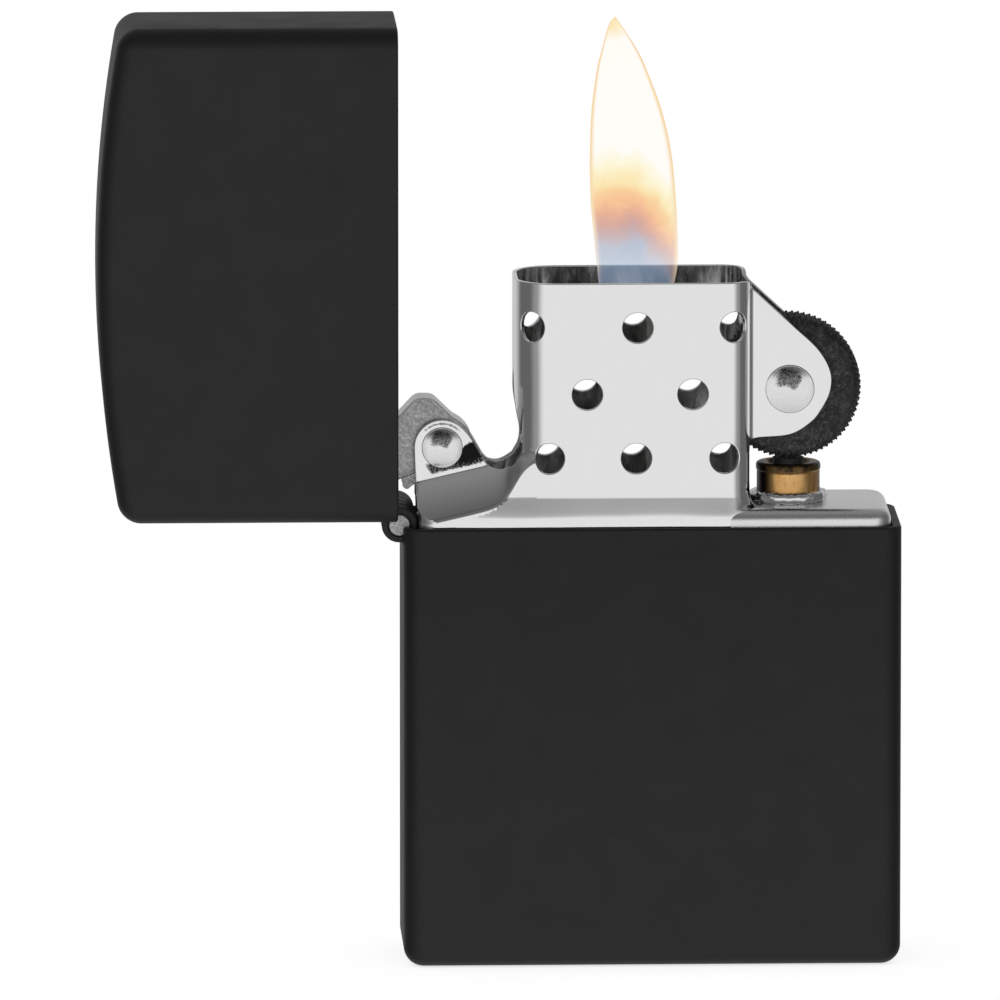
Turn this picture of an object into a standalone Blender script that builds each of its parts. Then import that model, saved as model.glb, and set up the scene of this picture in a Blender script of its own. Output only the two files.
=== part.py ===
"""A windproof flip-top petrol lighter, standing on its base with its lid open.

+Z is up, the front faces -Y and the hinge is on the -X side.
The origin is the centre of the case's underside.
Sizes are in millimetres and become metres where a mesh is made. Each mesh object is one physical piece, and
the pieces that move hang from an empty on their joint's axis. The lid is drawn shut and its empty opens it.
"""

from math import cos, pi, radians, sin

import bmesh
import bpy
from mathutils import Matrix, Vector

MM = 0.001

# Case and lid: deep-drawn steel
WIDTH, DEPTH, HEIGHT_SHUT = 38.1, 12.7, 57.15
CASE_HEIGHT = 34.0
MOUTH_GAP = 0.2
CASE_WALL = 0.65
CORNER_RADIUS, EDGE_RADIUS = 1.6, 1.5
CROWN_RISE = 1.8

# Hinge
HINGE_X, HINGE_Z = -19.35, 34.1
LID_OPEN_DEG = 90.0
KNUCKLE_RADIUS, PIN_RADIUS, PIN_LENGTH = 1.35, 0.82, 9.2
BARREL_LENGTH, KNUCKLES, KNUCKLE_GAP = 9.0, 5, 0.1
LEAF_NEAR, LEAF_FAR = 0.97, 1.28  # the leaf's two faces, from the hinge axis
LEAF_HALF_WIDTH = 4.5
CASE_LEAF_LENGTH, LID_LEAF_LENGTH = 6.6, 4.5
BARREL_CLEARANCE = 0.25

# Insert: tank, shoulder, chimney and ears, formed from one sheet
INSERT_LEFT, INSERT_RIGHT, INSERT_HALF_DEPTH = -17.94, 18.28, 5.6
INSERT_BOTTOM, SHOULDER = 1.5, 35.26
SHEET = 0.45
SHOULDER_RADIUS = 1.3
CHIMNEY_LEFT, CHIMNEY_RIGHT, CHIMNEY_HALF_DEPTH, CHIMNEY_TOP = -10.5, 7.6, 5.2, 52.75
CHIMNEY_LEFT_RADIUS, CHIMNEY_RIGHT_RADIUS = 3.5, 2.0
CHIMNEY_ROOT = 0.3  # how far the chimney, the ears and the collar run down into the shoulder
HOLE_RADIUS = 1.17
HOLE_ROWS = ((49.33, (-9.3, -1.15, 6.27)), (44.2, (-5.0, 3.07)), (39.26, (-7.9, -1.25, 5.52)))

# Striker wheel, flint and flint tube, on one upright axis
WHEEL_X, WHEEL_Z = 10.6, 44.2
WHEEL_RADIUS, WHEEL_HALF_WIDTH, WHEEL_CHAMFER = 5.5, 1.95, 0.55
WHEEL_TEETH, TOOTH_DEPTH = 72, 0.16
WHEEL_EAR_FACE = 2.6
WHEEL_WINDOW_LEFT, WHEEL_WINDOW_RIGHT, WHEEL_WINDOW_BOTTOM = 6.0, 8.0, 37.6
AXLE_RADIUS, AXLE_HEAD_RADIUS, AXLE_HEAD_HEIGHT = 0.9, 1.8, 0.6
TUBE_RADIUS, TUBE_BORE, TUBE_BOTTOM = 2.2, 1.45, 3.3
TUBE_HEAD_RADIUS, TUBE_HEAD_BOTTOM, TUBE_HEAD_TOP = 2.475, 35.36, 38.25
COLLAR_RADIUS, COLLAR_TOP = 2.85, 36.2
FLINT_RADIUS, FLINT_BOTTOM, FLINT_TOP = 1.2, 33.6, 38.55
TIP_RADIUS, TIP_STEM_RADIUS, TIP_STEM_BOTTOM, TIP_BOTTOM, TIP_TOP = 1.25, 0.6, 30.8, 32.35, 33.5
SPRING_BOTTOM, SPRING_TOP, SPRING_TURNS = 8.1, 32.3, 16
SPRING_COIL_RADIUS, SPRING_WIRE_RADIUS = 1.03, 0.2
SCREW_HEAD_RADIUS, SCREW_HEAD_BOTTOM, SCREW_HEAD_TOP = 2.6, 2.2, 3.2
SCREW_RADIUS, SCREW_TOP, SCREW_NOSE_RADIUS, SCREW_NOSE_TOP = 1.38, 8.0, 0.6, 10.0
SLOT_WIDTH, SLOT_DEPTH = 0.8, 0.5

# Cam lever and its spring
CAM_X, CAM_Z = -16.0, 39.75
CAM_HUB_RADIUS, CAM_HALF_WIDTH = 2.05, 1.5
CAM_EAR_FACE, CAM_EAR_RADIUS = 2.25, 1.95
CAM_RIVET_RADIUS, CAM_HEAD_RADIUS, CAM_HEAD_HEIGHT = 0.75, 1.5, 0.6
SPRING_STRIP, SPRING_STRIP_HALF_WIDTH = 0.3, 1.4
STRIP_RIVET_RADIUS, STRIP_RIVET_HEAD, STRIP_RIVET_HEIGHTS = 0.6, 1.0, (30.6, 26.6)
SPRING_SLOT_LEFT, SPRING_SLOT_RIGHT, SPRING_SLOT_HALF_WIDTH = -16.9, -13.0, 1.6
CAM_SKIRT_RIGHT = -9.6

# Wick, packing and felt
WICK_X, WICK_RADIUS, WICK_BOTTOM, WICK_TOP = 0.9, 1.25, 5.0, 50.5
FELT_BOTTOM, FELT_TOP, FELT_HOLE_RADIUS = 2.4, 4.2, 2.85
PACKING_GAP = 0.3

# Fits
RUNNING_FIT = 0.05
LOOSE_FIT = 0.15
THROUGH = 8.0  # half length of a cutter or bore that passes right through the insert


# Meshes

def new_object(name, points, faces):
    """A closed mesh object from points in millimetres."""
    mesh = bpy.data.meshes.new(name)
    mesh.from_pydata([Vector(p) * MM for p in points], [], faces)
    work = bmesh.new()
    work.from_mesh(mesh)
    bmesh.ops.recalc_face_normals(work, faces=work.faces)
    work.to_mesh(mesh)
    work.free()
    obj = bpy.data.objects.new(name, mesh)
    bpy.context.scene.collection.objects.link(obj)
    return obj


def loft(name, rings, closed=False):
    """A skin over rings of equal length. The ends are capped rung by rung across Y, or joined if closed."""
    count = len(rings[0])
    points = [p for ring in rings for p in ring]
    faces = []
    spans = len(rings) if closed else len(rings) - 1
    for r in range(spans):
        low, high = r * count, (r + 1) % len(rings) * count
        for i in range(count):
            j = (i + 1) % count
            faces.append((low + i, low + j, high + j, high + i))
    if not closed:
        for first in (0, (len(rings) - 1) * count):
            for i in range(count // 2 - 1):
                faces.append((first + i, first + i + 1, first + count - 2 - i, first + count - 1 - i))
    return new_object(name, points, faces)


def arc(x, y, radius, start_deg, end_deg, steps):
    """Points on an arc, both ends included."""
    angles = [radians(start_deg + (end_deg - start_deg) * k / steps) for k in range(steps + 1)]
    return [(x + radius * cos(a), y + radius * sin(a)) for a in angles]


def outline(left, right, half_depth, left_radius, right_radius, side_steps=1, corner_steps=6):
    """A rounded rectangle, listed so that point i and point -1-i mirror each other across Y = 0."""
    front = arc(left + left_radius, left_radius - half_depth, left_radius, 180, 270, corner_steps)
    end = arc(right - right_radius, right_radius - half_depth, right_radius, 270, 360, corner_steps)
    step = (end[0][0] - front[-1][0]) / side_steps
    front += [(front[-1][0] + step * k, -half_depth) for k in range(1, side_steps)]
    front += end
    return front + [(x, -y) for x, y in reversed(front)]


def prism(name, shape, low, high, axis="Z"):
    """A flat shape pushed from low to high along Z, or along Y or X with the shape in XZ or YZ."""
    lift = {
        "Z": lambda p, t: (p[0], p[1], t),
        "Y": lambda p, t: (p[0], t, p[1]),
        "X": lambda p, t: (t, p[0], p[1]),
    }[axis]
    count = len(shape)
    points = [lift(p, t) for t in (low, high) for p in shape]
    faces = [(i, (i + 1) % count, (i + 1) % count + count, i + count) for i in range(count)]
    faces += [tuple(range(count)), tuple(range(count, 2 * count))]
    return new_object(name, points, faces)


def box(name, low, high):
    corners = [(low[0], low[1]), (high[0], low[1]), (high[0], high[1]), (low[0], high[1])]
    return prism(name, corners, low[2], high[2])


def turned(name, profile, centre, axis="Z", steps=24):
    """A profile of (radius, height) turned about an axis, with a bore unless it starts and ends at radius 0."""
    cx, cy, cz = centre
    place = {
        "Z": lambda u, v, h: (cx + u, cy + v, cz + h),
        "Y": lambda u, v, h: (cx + u, cy + h, cz + v),
        "X": lambda u, v, h: (cx + h, cy + u, cz + v),
    }[axis]
    solid = profile[0][0] == 0
    body = profile[1:-1] if solid else profile
    rings = []
    for radius, height in body:
        ring = [place(radius * cos(a), radius * sin(a), height) for a in turn_angles(steps)]
        rings.append(ring)
    if not solid:
        return loft(name, rings, closed=True)
    points = [p for ring in rings for p in ring] + [place(0, 0, profile[0][1]), place(0, 0, profile[-1][1])]
    faces = []
    for r in range(len(rings) - 1):
        for i in range(steps):
            j = (i + 1) % steps
            faces.append((r * steps + i, r * steps + j, (r + 1) * steps + j, (r + 1) * steps + i))
    last = (len(rings) - 1) * steps
    for i in range(steps):
        j = (i + 1) % steps
        faces.append((i, j, len(points) - 2))
        faces.append((last + i, last + j, len(points) - 1))
    return new_object(name, points, faces)


def turn_angles(steps):
    return [2 * pi * k / steps for k in range(steps)]


def rod(name, centre, radius, low, high, axis="Z", steps=24):
    return turned(name, [(0, low), (radius, low), (radius, high), (0, high)], centre, axis, steps)


def boolean(target, operation, *tools):
    """Joins or cuts the target with each tool, keeps the result and removes the tools."""
    for tool in tools:
        modifier = target.modifiers.new(operation, "BOOLEAN")
        modifier.operation = operation
        modifier.solver = "EXACT"
        modifier.object = tool
        bpy.context.view_layer.update()
        graph = bpy.context.evaluated_depsgraph_get()
        result = bpy.data.meshes.new_from_object(target.evaluated_get(graph))
        target.modifiers.clear()
        target.data = result
        bpy.data.objects.remove(tool)
    return target


def cut(target, *tools):
    return boolean(target, "DIFFERENCE", *tools)


def join(target, *tools):
    return boolean(target, "UNION", *tools)


# Materials

def material(name, colour, roughness, metallic):
    made = bpy.data.materials.new(name)
    made.use_nodes = True
    shader = made.node_tree.nodes["Principled BSDF"]
    shader.inputs["Base Color"].default_value = (*colour, 1)
    shader.inputs["Roughness"].default_value = roughness
    shader.inputs["Metallic"].default_value = metallic
    return made


def make_materials():
    return {
        "black_coat": material("black_coat", (0.024, 0.024, 0.026), 0.55, 0.0),
        "polished_steel": material("polished_steel", (0.74, 0.74, 0.75), 0.12, 1.0),
        "cam_steel": material("cam_steel", (0.38, 0.38, 0.39), 0.5, 1.0),
        "wheel_steel": material("wheel_steel", (0.07, 0.07, 0.075), 0.55, 1.0),
        "brass": material("brass", (0.6, 0.36, 0.11), 0.28, 1.0),
        "spring_steel": material("spring_steel", (0.5, 0.5, 0.52), 0.3, 1.0),
        "flint": material("flint", (0.12, 0.11, 0.11), 0.6, 0.6),
        "cotton": material("cotton", (0.78, 0.75, 0.68), 0.95, 0.0),
        "felt": material("felt", (0.62, 0.6, 0.55), 0.95, 0.0),
    }


def finish(obj, surface, holder=None):
    """Gives a piece its material and smooth shading, and hangs it from its joint's empty."""
    obj.data.materials.clear()
    obj.data.materials.append(surface)
    obj.data.shade_smooth()
    obj.data.set_sharp_from_angle(angle=radians(32))
    if holder:
        obj.data.transform(Matrix.Translation(-holder["shut_at"]))
        obj.parent = holder["empty"]


def joint_empty(name, x, z, parent=None, turn_deg=0.0):
    """An empty on a joint's axis. Its pieces are drawn in world places for a turn of 0."""
    empty = bpy.data.objects.new(name, None)
    empty.empty_display_size = 5 * MM
    bpy.context.scene.collection.objects.link(empty)
    at = Vector((x, 0, z)) * MM
    empty.parent = parent["empty"] if parent else None
    empty.location = at - (parent["shut_at"] if parent else Vector())
    empty.rotation_euler = (0, radians(turn_deg), 0)
    return {"empty": empty, "shut_at": at}


# Case and lid

def drawn_rings(left, right, half_depth, corner, edge, mouth, end, side_steps=1, edge_steps=5):
    """Rings of a drawn cup from its mouth, round its edge, to its closed end at height end(x)."""
    up = 1 if end(0) > mouth else -1
    rings = [[(x, y, mouth) for x, y in outline(left, right, half_depth, corner, corner, side_steps)]]
    for k in range(edge_steps + 1):
        a = pi / 2 * k / edge_steps
        inset, drop = edge * (1 - cos(a)), edge * (1 - sin(a))
        radius = corner - inset
        shape = outline(left + inset, right - inset, half_depth - inset, radius, radius, side_steps)
        rings.append([(x, y, end(x) - up * drop) for x, y in shape])
    return rings


def drawn_cup(name, left, right, half_depth, corner, edge, mouth, end, wall, side_steps=1):
    """A cup of even wall, open at its mouth."""
    up = 1 if end(0) > mouth else -1
    outer = drawn_rings(left, right, half_depth, corner, edge, mouth, end, side_steps)
    inner = drawn_rings(
        left + wall, right - wall, half_depth - wall, corner - wall, edge - wall,
        mouth, lambda x: end(x) - up * wall, side_steps,
    )
    return loft(name, inner[::-1] + outer)


def crown(x):
    """Height of the shut lid's crowned top."""
    return HEIGHT_SHUT - CROWN_RISE * (2 * x / WIDTH) ** 2


def barrel_notch(direction):
    """The cutter that makes room in a narrow wall for the hinge barrel, below or above the axis."""
    reach = KNUCKLE_RADIUS + BARREL_CLEARANCE
    low, high = sorted((HINGE_Z + direction * reach, HINGE_Z - direction * 2))
    half_width = BARREL_LENGTH / 2 + BARREL_CLEARANCE
    inner = -WIDTH / 2 + CASE_WALL + 0.3
    return box("barrel_notch", (HINGE_X - 2, -half_width, low), (inner, half_width, high))


def make_case():
    half = WIDTH / 2
    case = drawn_cup(
        "case_shell", -half, half, DEPTH / 2, CORNER_RADIUS, EDGE_RADIUS, CASE_HEIGHT,
        lambda x: 0.0, CASE_WALL
    )
    return cut(case, barrel_notch(-1))


def make_lid():
    half = WIDTH / 2
    mouth = CASE_HEIGHT + MOUTH_GAP
    lid = drawn_cup(
        "lid_shell", -half, half, DEPTH / 2, CORNER_RADIUS, EDGE_RADIUS, mouth,
        crown, CASE_WALL, side_steps=10
    )
    return cut(lid, barrel_notch(1))


# Hinge

def knuckle_span(index):
    pitch = BARREL_LENGTH / KNUCKLES
    start = -BARREL_LENGTH / 2 + index * pitch
    return start + KNUCKLE_GAP / 2, start + pitch - KNUCKLE_GAP / 2


def make_hinge_leaf(name, knuckles, direction, length):
    """A leaf plate inside the narrow wall, below (-1) or above (1) the axis, rolled into its knuckles."""
    near, far = HINGE_X + LEAF_NEAR, HINGE_X + LEAF_FAR
    start = KNUCKLE_RADIUS + 0.15
    low, high = sorted((HINGE_Z + direction * start, HINGE_Z + direction * length))
    leaf = box(name, (near, -LEAF_HALF_WIDTH, low), (far, LEAF_HALF_WIDTH, high))
    for index in knuckles:
        y_low, y_high = knuckle_span(index)
        tab_low, tab_high = sorted((HINGE_Z, HINGE_Z + direction * (start + 0.3)))
        tab = box("tab", (near, y_low, tab_low), (far, y_high, tab_high))
        knuckle = rod("knuckle", (HINGE_X, 0, HINGE_Z), KNUCKLE_RADIUS, y_low, y_high, "Y", 20)
        join(leaf, tab, knuckle)
    bore = PIN_RADIUS + RUNNING_FIT
    return cut(leaf, rod("pin_bore", (HINGE_X, 0, HINGE_Z), bore, -PIN_LENGTH, PIN_LENGTH, "Y", 20))


def make_hinge_pin():
    half, bevel = PIN_LENGTH / 2, 0.12
    profile = [(0, -half), (PIN_RADIUS - bevel, -half), (PIN_RADIUS, bevel - half)]
    profile += [(radius, -height) for radius, height in reversed(profile)]
    return turned("hinge_pin", profile, (HINGE_X, 0, HINGE_Z), "Y", 20)


# Insert

def both_sides(face):
    """The Y spans of a pair of sheet-thick ears whose outer faces stand at +face and -face."""
    return (-face, SHEET - face), (face - SHEET, face)


def wheel_ear_outline():
    """Side view of a wheel ear, from the chimney's wall out to its nose and back."""
    nose = arc(WHEEL_X + 1.0, WHEEL_Z + 0.75, 2.25, -62, 48, 8)
    return [(7.3, 40.45), (10.2, 40.6)] + nose + [(8.75, 50.9), (7.3, 51.6)]


def cam_ear_outline():
    """Side view of a cam ear: round over the rivet, sloping to a notch beside the chimney."""
    top = arc(CAM_X, CAM_Z, CAM_EAR_RADIUS, 180, 50, 8)
    notch = arc(-11.85, 38.75, 0.75, 215, 330, 4)
    return [(-17.25, 34.9), (-17.75, 36.6)] + top + notch + [(-10.2, 40.4), (-10.2, 34.9)]


def cam_skirt(side):
    """The sloping sheet from a cam ear out to the tank's shoulder."""
    inner, outer = CAM_EAR_FACE - 0.35, INSERT_HALF_DEPTH - 0.35
    slope = [(inner, 37.75), (inner + 0.25, 38.1), (outer, 34.9), (outer - 0.6, 34.9)]
    return prism("cam_skirt", [(side * y, z) for y, z in slope], -17.1, CAM_SKIRT_RIGHT, "X")


def make_insert_shell():
    shell = drawn_cup(
        "insert_shell", INSERT_LEFT, INSERT_RIGHT, INSERT_HALF_DEPTH, CORNER_RADIUS, SHOULDER_RADIUS,
        INSERT_BOTTOM, lambda x: SHOULDER, SHEET,
    )
    chimney_floor = SHOULDER - CHIMNEY_ROOT
    chimney = prism(
        "chimney",
        outline(CHIMNEY_LEFT, CHIMNEY_RIGHT, CHIMNEY_HALF_DEPTH, CHIMNEY_LEFT_RADIUS, CHIMNEY_RIGHT_RADIUS),
        chimney_floor, CHIMNEY_TOP,
    )
    flue = prism(
        "flue",
        outline(
            CHIMNEY_LEFT + SHEET, CHIMNEY_RIGHT - SHEET, CHIMNEY_HALF_DEPTH - SHEET,
            CHIMNEY_LEFT_RADIUS - SHEET, CHIMNEY_RIGHT_RADIUS - SHEET,
        ),
        SHOULDER - 0.1, CHIMNEY_TOP + 1,
    )
    join(shell, chimney)
    for low, high in both_sides(CAM_EAR_FACE):
        join(shell, prism("cam_ear", cam_ear_outline(), low, high, "Y"))
    for side in (-1, 1):
        join(shell, cam_skirt(side))
    cut(shell, flue)
    for low, high in both_sides(WHEEL_EAR_FACE):
        join(shell, prism("wheel_ear", wheel_ear_outline(), low, high, "Y"))
    join(shell, rod("collar", (WHEEL_X, 0, 0), COLLAR_RADIUS, chimney_floor, COLLAR_TOP))
    cut_insert_openings(shell)
    return shell


def cut_insert_openings(shell):
    wheel_gap = WHEEL_EAR_FACE - SHEET - LOOSE_FIT
    window_low = (WHEEL_WINDOW_LEFT, -wheel_gap, WHEEL_WINDOW_BOTTOM)
    cut(shell, box("wheel_window", window_low, (WHEEL_WINDOW_RIGHT, wheel_gap, CHIMNEY_TOP + 1)))
    slot_low = (SPRING_SLOT_LEFT, -SPRING_SLOT_HALF_WIDTH, SHOULDER - 1.2)
    cut(shell, box("spring_slot", slot_low, (SPRING_SLOT_RIGHT, SPRING_SLOT_HALF_WIDTH, SHOULDER + 0.6)))
    for height, places in HOLE_ROWS:
        for x in places:
            cut(shell, rod("wind_hole", (x, 0, height), HOLE_RADIUS, -THROUGH, THROUGH, "Y", 20))
    axle_hole, rivet_hole = AXLE_RADIUS + RUNNING_FIT, CAM_RIVET_RADIUS + RUNNING_FIT
    cut(shell, rod("axle_hole", (WHEEL_X, 0, WHEEL_Z), axle_hole, -THROUGH, THROUGH, "Y", 20))
    cut(shell, rod("cam_rivet_hole", (CAM_X, 0, CAM_Z), rivet_hole, -THROUGH, THROUGH, "Y", 16))
    cut(shell, rod("wick_hole", (WICK_X, 0, SHOULDER), WICK_RADIUS + 0.1, -2, 1.5, "Z", 20))
    narrow, wide, seat = TUBE_RADIUS + RUNNING_FIT, TUBE_HEAD_RADIUS + RUNNING_FIT, TUBE_HEAD_BOTTOM - 0.05
    bottom, top = SHOULDER - 2, COLLAR_TOP + 0.5
    seat_profile = [(0, bottom), (narrow, bottom), (narrow, seat), (wide, seat), (wide, top), (0, top)]
    cut(shell, turned("tube_seat", seat_profile, (WHEEL_X, 0, 0), steps=28))
    for height in STRIP_RIVET_HEIGHTS:
        hole = STRIP_RIVET_RADIUS + RUNNING_FIT
        cut(shell, rod("strip_hole", (INSERT_LEFT, 0, height), hole, -1, 1, "X", 12))


def domed_rivet(name, centre, shank, head, grip, height, steps, axis="Y"):
    """A rivet whose shank spans the grip, with a low dome on each end."""
    edge = 0.3 * height
    dome = [(0, height), (0.45 * head, 0.88 * height), (0.8 * head, 0.6 * height), (head, edge), (head, 0)]
    half = grip / 2
    left = [(radius, -half - rise) for radius, rise in dome] + [(shank, -half)]
    return turned(name, left + [(radius, -along) for radius, along in reversed(left)], centre, axis, steps)


def make_strip_rivet(name, height):
    """A flat rivet through the tank's narrow wall and the cam spring's foot."""
    head, shank = STRIP_RIVET_HEAD, STRIP_RIVET_RADIUS
    inside = SHEET + 0.06 + SPRING_STRIP + 0.03
    profile = [
        (0, -0.09), (head - 0.15, -0.09), (head, -0.05), (head, -0.02), (shank, -0.02),
        (shank, inside), (head, inside), (head, inside + 0.25), (0, inside + 0.25),
    ]
    return turned(name, profile, (INSERT_LEFT, 0, height), "X", 14)


def make_cam_spring():
    """A flat strip up the tank's narrow wall, through the shoulder, curled up under the cam's hub."""
    foot = INSERT_LEFT + SHEET + 0.06 + SPRING_STRIP / 2
    path = [(foot, 25.2), (foot, 32.4), (-16.5, 33.6), (-15.2, 34.5), (-14.3, 35.5), (-14.25, 36.5)]
    path += [(-14.9, 37.2), (-15.7, 37.42), (-16.5, 37.35)]
    sides = ([], [])
    for i, point in enumerate(path):
        before, after = path[max(i - 1, 0)], path[min(i + 1, len(path) - 1)]
        along = (Vector(after) - Vector(before)).normalized()
        across = Vector((-along.y, along.x)) * SPRING_STRIP / 2
        sides[0].append(tuple(Vector(point) + across))
        sides[1].append(tuple(Vector(point) - across))
    shape = sides[0] + sides[1][::-1]
    half = SPRING_STRIP_HALF_WIDTH
    spring = prism("cam_spring", shape, -half, half, "Y")
    for height in STRIP_RIVET_HEIGHTS:
        cut(spring, rod("strip_hole", (foot, 0, height), STRIP_RIVET_RADIUS + RUNNING_FIT, -1, 1, "X", 12))
    return spring


def make_cam_lever():
    """The lever's hub, the long arm that reaches into the lid and the foot below it."""
    hub = arc(0, 0, CAM_HUB_RADIUS, -118, 72, 14)
    crest = [(0.32, 2.37), (-1.07, 3.55), (-1.63, 3.5)]
    arm = [(-3.4, 2.35)] + arc(-4.5, 0.9, 0.95, 60, 235, 6)
    foot = [(-3.55, -1.9), (-3.2, -2.95), (-2.85, -3.2), (-2.5, -3.05), (-1.95, -2.1)]
    shape = [(CAM_X + x, CAM_Z + z) for x, z in hub + crest + arm + foot]
    lever = prism("cam_lever", shape, -CAM_HALF_WIDTH, CAM_HALF_WIDTH, "Y")
    bore = CAM_RIVET_RADIUS + RUNNING_FIT
    return cut(lever, rod("rivet_hole", (CAM_X, 0, CAM_Z), bore, -THROUGH, THROUGH, "Y", 16))


# Striker wheel and flint

def make_wheel():
    """A wheel with straight teeth round its rim and chamfered sides."""
    points_round = 2 * WHEEL_TEETH
    half, bore = WHEEL_HALF_WIDTH, AXLE_RADIUS + RUNNING_FIT
    side = [
        (bore, -half, 0), (WHEEL_RADIUS - WHEEL_CHAMFER, -half, 0), (WHEEL_RADIUS, 0.4 - half, TOOTH_DEPTH),
    ]
    profile = side + [(radius, -y, depth) for radius, y, depth in reversed(side)]
    rings = []
    for radius, y, depth in profile:
        ring = []
        for k, a in enumerate(turn_angles(points_round)):
            r = radius - depth * (k % 2)
            ring.append((WHEEL_X + r * cos(a), y, WHEEL_Z + r * sin(a)))
        rings.append(ring)
    return loft("flint_wheel", rings, closed=True)


def make_flint_tube():
    bottom, seat, top = TUBE_BOTTOM, TUBE_HEAD_BOTTOM, TUBE_HEAD_TOP
    profile = [
        (TUBE_BORE, bottom), (TUBE_RADIUS, bottom), (TUBE_RADIUS, seat), (TUBE_HEAD_RADIUS, seat),
        (TUBE_HEAD_RADIUS, top - 0.35), (TUBE_HEAD_RADIUS - 0.12, top - 0.1), (TUBE_HEAD_RADIUS - 0.4, top),
        (TUBE_BORE + 0.15, top), (TUBE_BORE, top - 0.15),
    ]
    return turned("flint_tube", profile, (WHEEL_X, 0, 0))


def make_flint():
    return rod("flint", (WHEEL_X, 0, 0), FLINT_RADIUS, FLINT_BOTTOM, FLINT_TOP, "Z", 18)


def make_spring_tip():
    profile = [(0, TIP_STEM_BOTTOM), (TIP_STEM_RADIUS, TIP_STEM_BOTTOM), (TIP_STEM_RADIUS, TIP_BOTTOM)]
    profile += [(TIP_RADIUS, TIP_BOTTOM), (TIP_RADIUS, TIP_TOP), (0, TIP_TOP)]
    return turned("spring_tip", profile, (WHEEL_X, 0, 0), "Z", 18)


def make_flint_spring():
    """A round wire wound round the axis, with capped ends."""
    steps_a_turn, wire_sides = 10, 6
    steps = SPRING_TURNS * steps_a_turn
    wire = SPRING_WIRE_RADIUS
    low, high = SPRING_BOTTOM + wire, SPRING_TOP - wire
    rings = []
    for k in range(steps + 1):
        a = 2 * pi * k / steps_a_turn
        z = low + (high - low) * k / steps
        ring = []
        for b in turn_angles(wire_sides):
            r = SPRING_COIL_RADIUS + wire * cos(b)
            ring.append((WHEEL_X + r * cos(a), r * sin(a), z + wire * sin(b)))
        rings.append(ring)
    return loft("flint_spring", rings)


def make_flint_screw():
    head, shank, nose = SCREW_HEAD_RADIUS, SCREW_RADIUS, SCREW_NOSE_RADIUS
    profile = [
        (0, SCREW_HEAD_BOTTOM), (head - 0.2, SCREW_HEAD_BOTTOM), (head, SCREW_HEAD_BOTTOM + 0.2),
        (head, SCREW_HEAD_TOP), (shank, SCREW_HEAD_TOP), (shank, SCREW_TOP), (nose, SCREW_TOP),
        (nose, SCREW_NOSE_TOP), (0, SCREW_NOSE_TOP),
    ]
    screw = turned("flint_screw", profile, (WHEEL_X, 0, 0), "Z", 20)
    reach = SCREW_HEAD_RADIUS + 1
    slot_low = (WHEEL_X - reach, -SLOT_WIDTH / 2, SCREW_HEAD_BOTTOM - 1)
    slot_high = (WHEEL_X + reach, SLOT_WIDTH / 2, SCREW_HEAD_BOTTOM + SLOT_DEPTH)
    return cut(screw, box("slot", slot_low, slot_high))


# Soft pieces inside the tank

def make_wick():
    radius = WICK_RADIUS
    profile = [(0, WICK_BOTTOM), (radius - 0.2, WICK_BOTTOM), (radius, WICK_BOTTOM + 0.3)]
    profile += [(radius, WICK_TOP - 0.4), (radius - 0.3, WICK_TOP), (0, WICK_TOP)]
    return turned("wick", profile, (WICK_X, 0, 0), "Z", 16)


def wad(name, low, high):
    """A cotton wad that fills a box with rounded corners."""
    across, up = 12, 7
    middle = [(a + b) / 2 for a, b in zip(low, high)]
    half = [(b - a) / 2 for a, b in zip(low, high)]

    def swell(value):
        return abs(value) ** 0.5 * (1 if value >= 0 else -1)

    angles = [-pi / 2 + pi * k / (up + 1) for k in range(1, up + 1)]
    profile = [(swell(cos(t)), swell(sin(t))) for t in angles]
    rings = []
    for out, rise in profile:
        ring = []
        for k in range(across):
            a = 2 * pi * (k + 0.5) / across - pi
            x = middle[0] + half[0] * out * swell(cos(a))
            y = middle[1] + half[1] * out * swell(sin(a))
            ring.append((x, y, middle[2] + half[2] * rise))
        rings.append(ring)
    return loft(name, rings)


def make_packing():
    """Five wads: two left of the wick, two right of it and one past the flint tube."""
    half_depth = INSERT_HALF_DEPTH - SHEET - 0.25
    left, right = INSERT_LEFT + SHEET + 0.85, INSERT_RIGHT - SHEET - 0.3
    floor, ceiling = FELT_TOP + PACKING_GAP, SHOULDER - SHEET - 0.4
    below_spring = SHOULDER - 3.26
    wick_left, wick_right = WICK_X - WICK_RADIUS - PACKING_GAP, WICK_X + WICK_RADIUS + PACKING_GAP
    tube_left, tube_right = WHEEL_X - TUBE_RADIUS - PACKING_GAP, WHEEL_X + TUBE_RADIUS + PACKING_GAP
    middle = (floor + ceiling) / 2
    spans = [
        (left, wick_left, floor, middle - PACKING_GAP / 2),
        (left, wick_left, middle + PACKING_GAP / 2, below_spring),
        (wick_right, tube_left, floor, middle - PACKING_GAP / 2),
        (wick_right, tube_left, middle + PACKING_GAP / 2, ceiling),
        (tube_right, right, floor, ceiling),
    ]
    return [
        wad(f"packing_ball_{k}", (x_low, -half_depth, z_low), (x_high, half_depth, z_high))
        for k, (x_low, x_high, z_low, z_high) in enumerate(spans, start=1)
    ]


def make_felt_pad():
    left, right = INSERT_LEFT + SHEET + LOOSE_FIT, INSERT_RIGHT - SHEET - LOOSE_FIT
    shape = outline(left, right, INSERT_HALF_DEPTH - SHEET - LOOSE_FIT, 1.0, 1.0, 1, 3)
    felt = prism("felt_pad", shape, FELT_BOTTOM, FELT_TOP)
    return cut(felt, rod("screw_hole", (WHEEL_X, 0, 0), FELT_HOLE_RADIUS, 0, 8))


# Assembly

def clear_scene():
    for obj in list(bpy.data.objects):
        bpy.data.objects.remove(obj)


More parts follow.
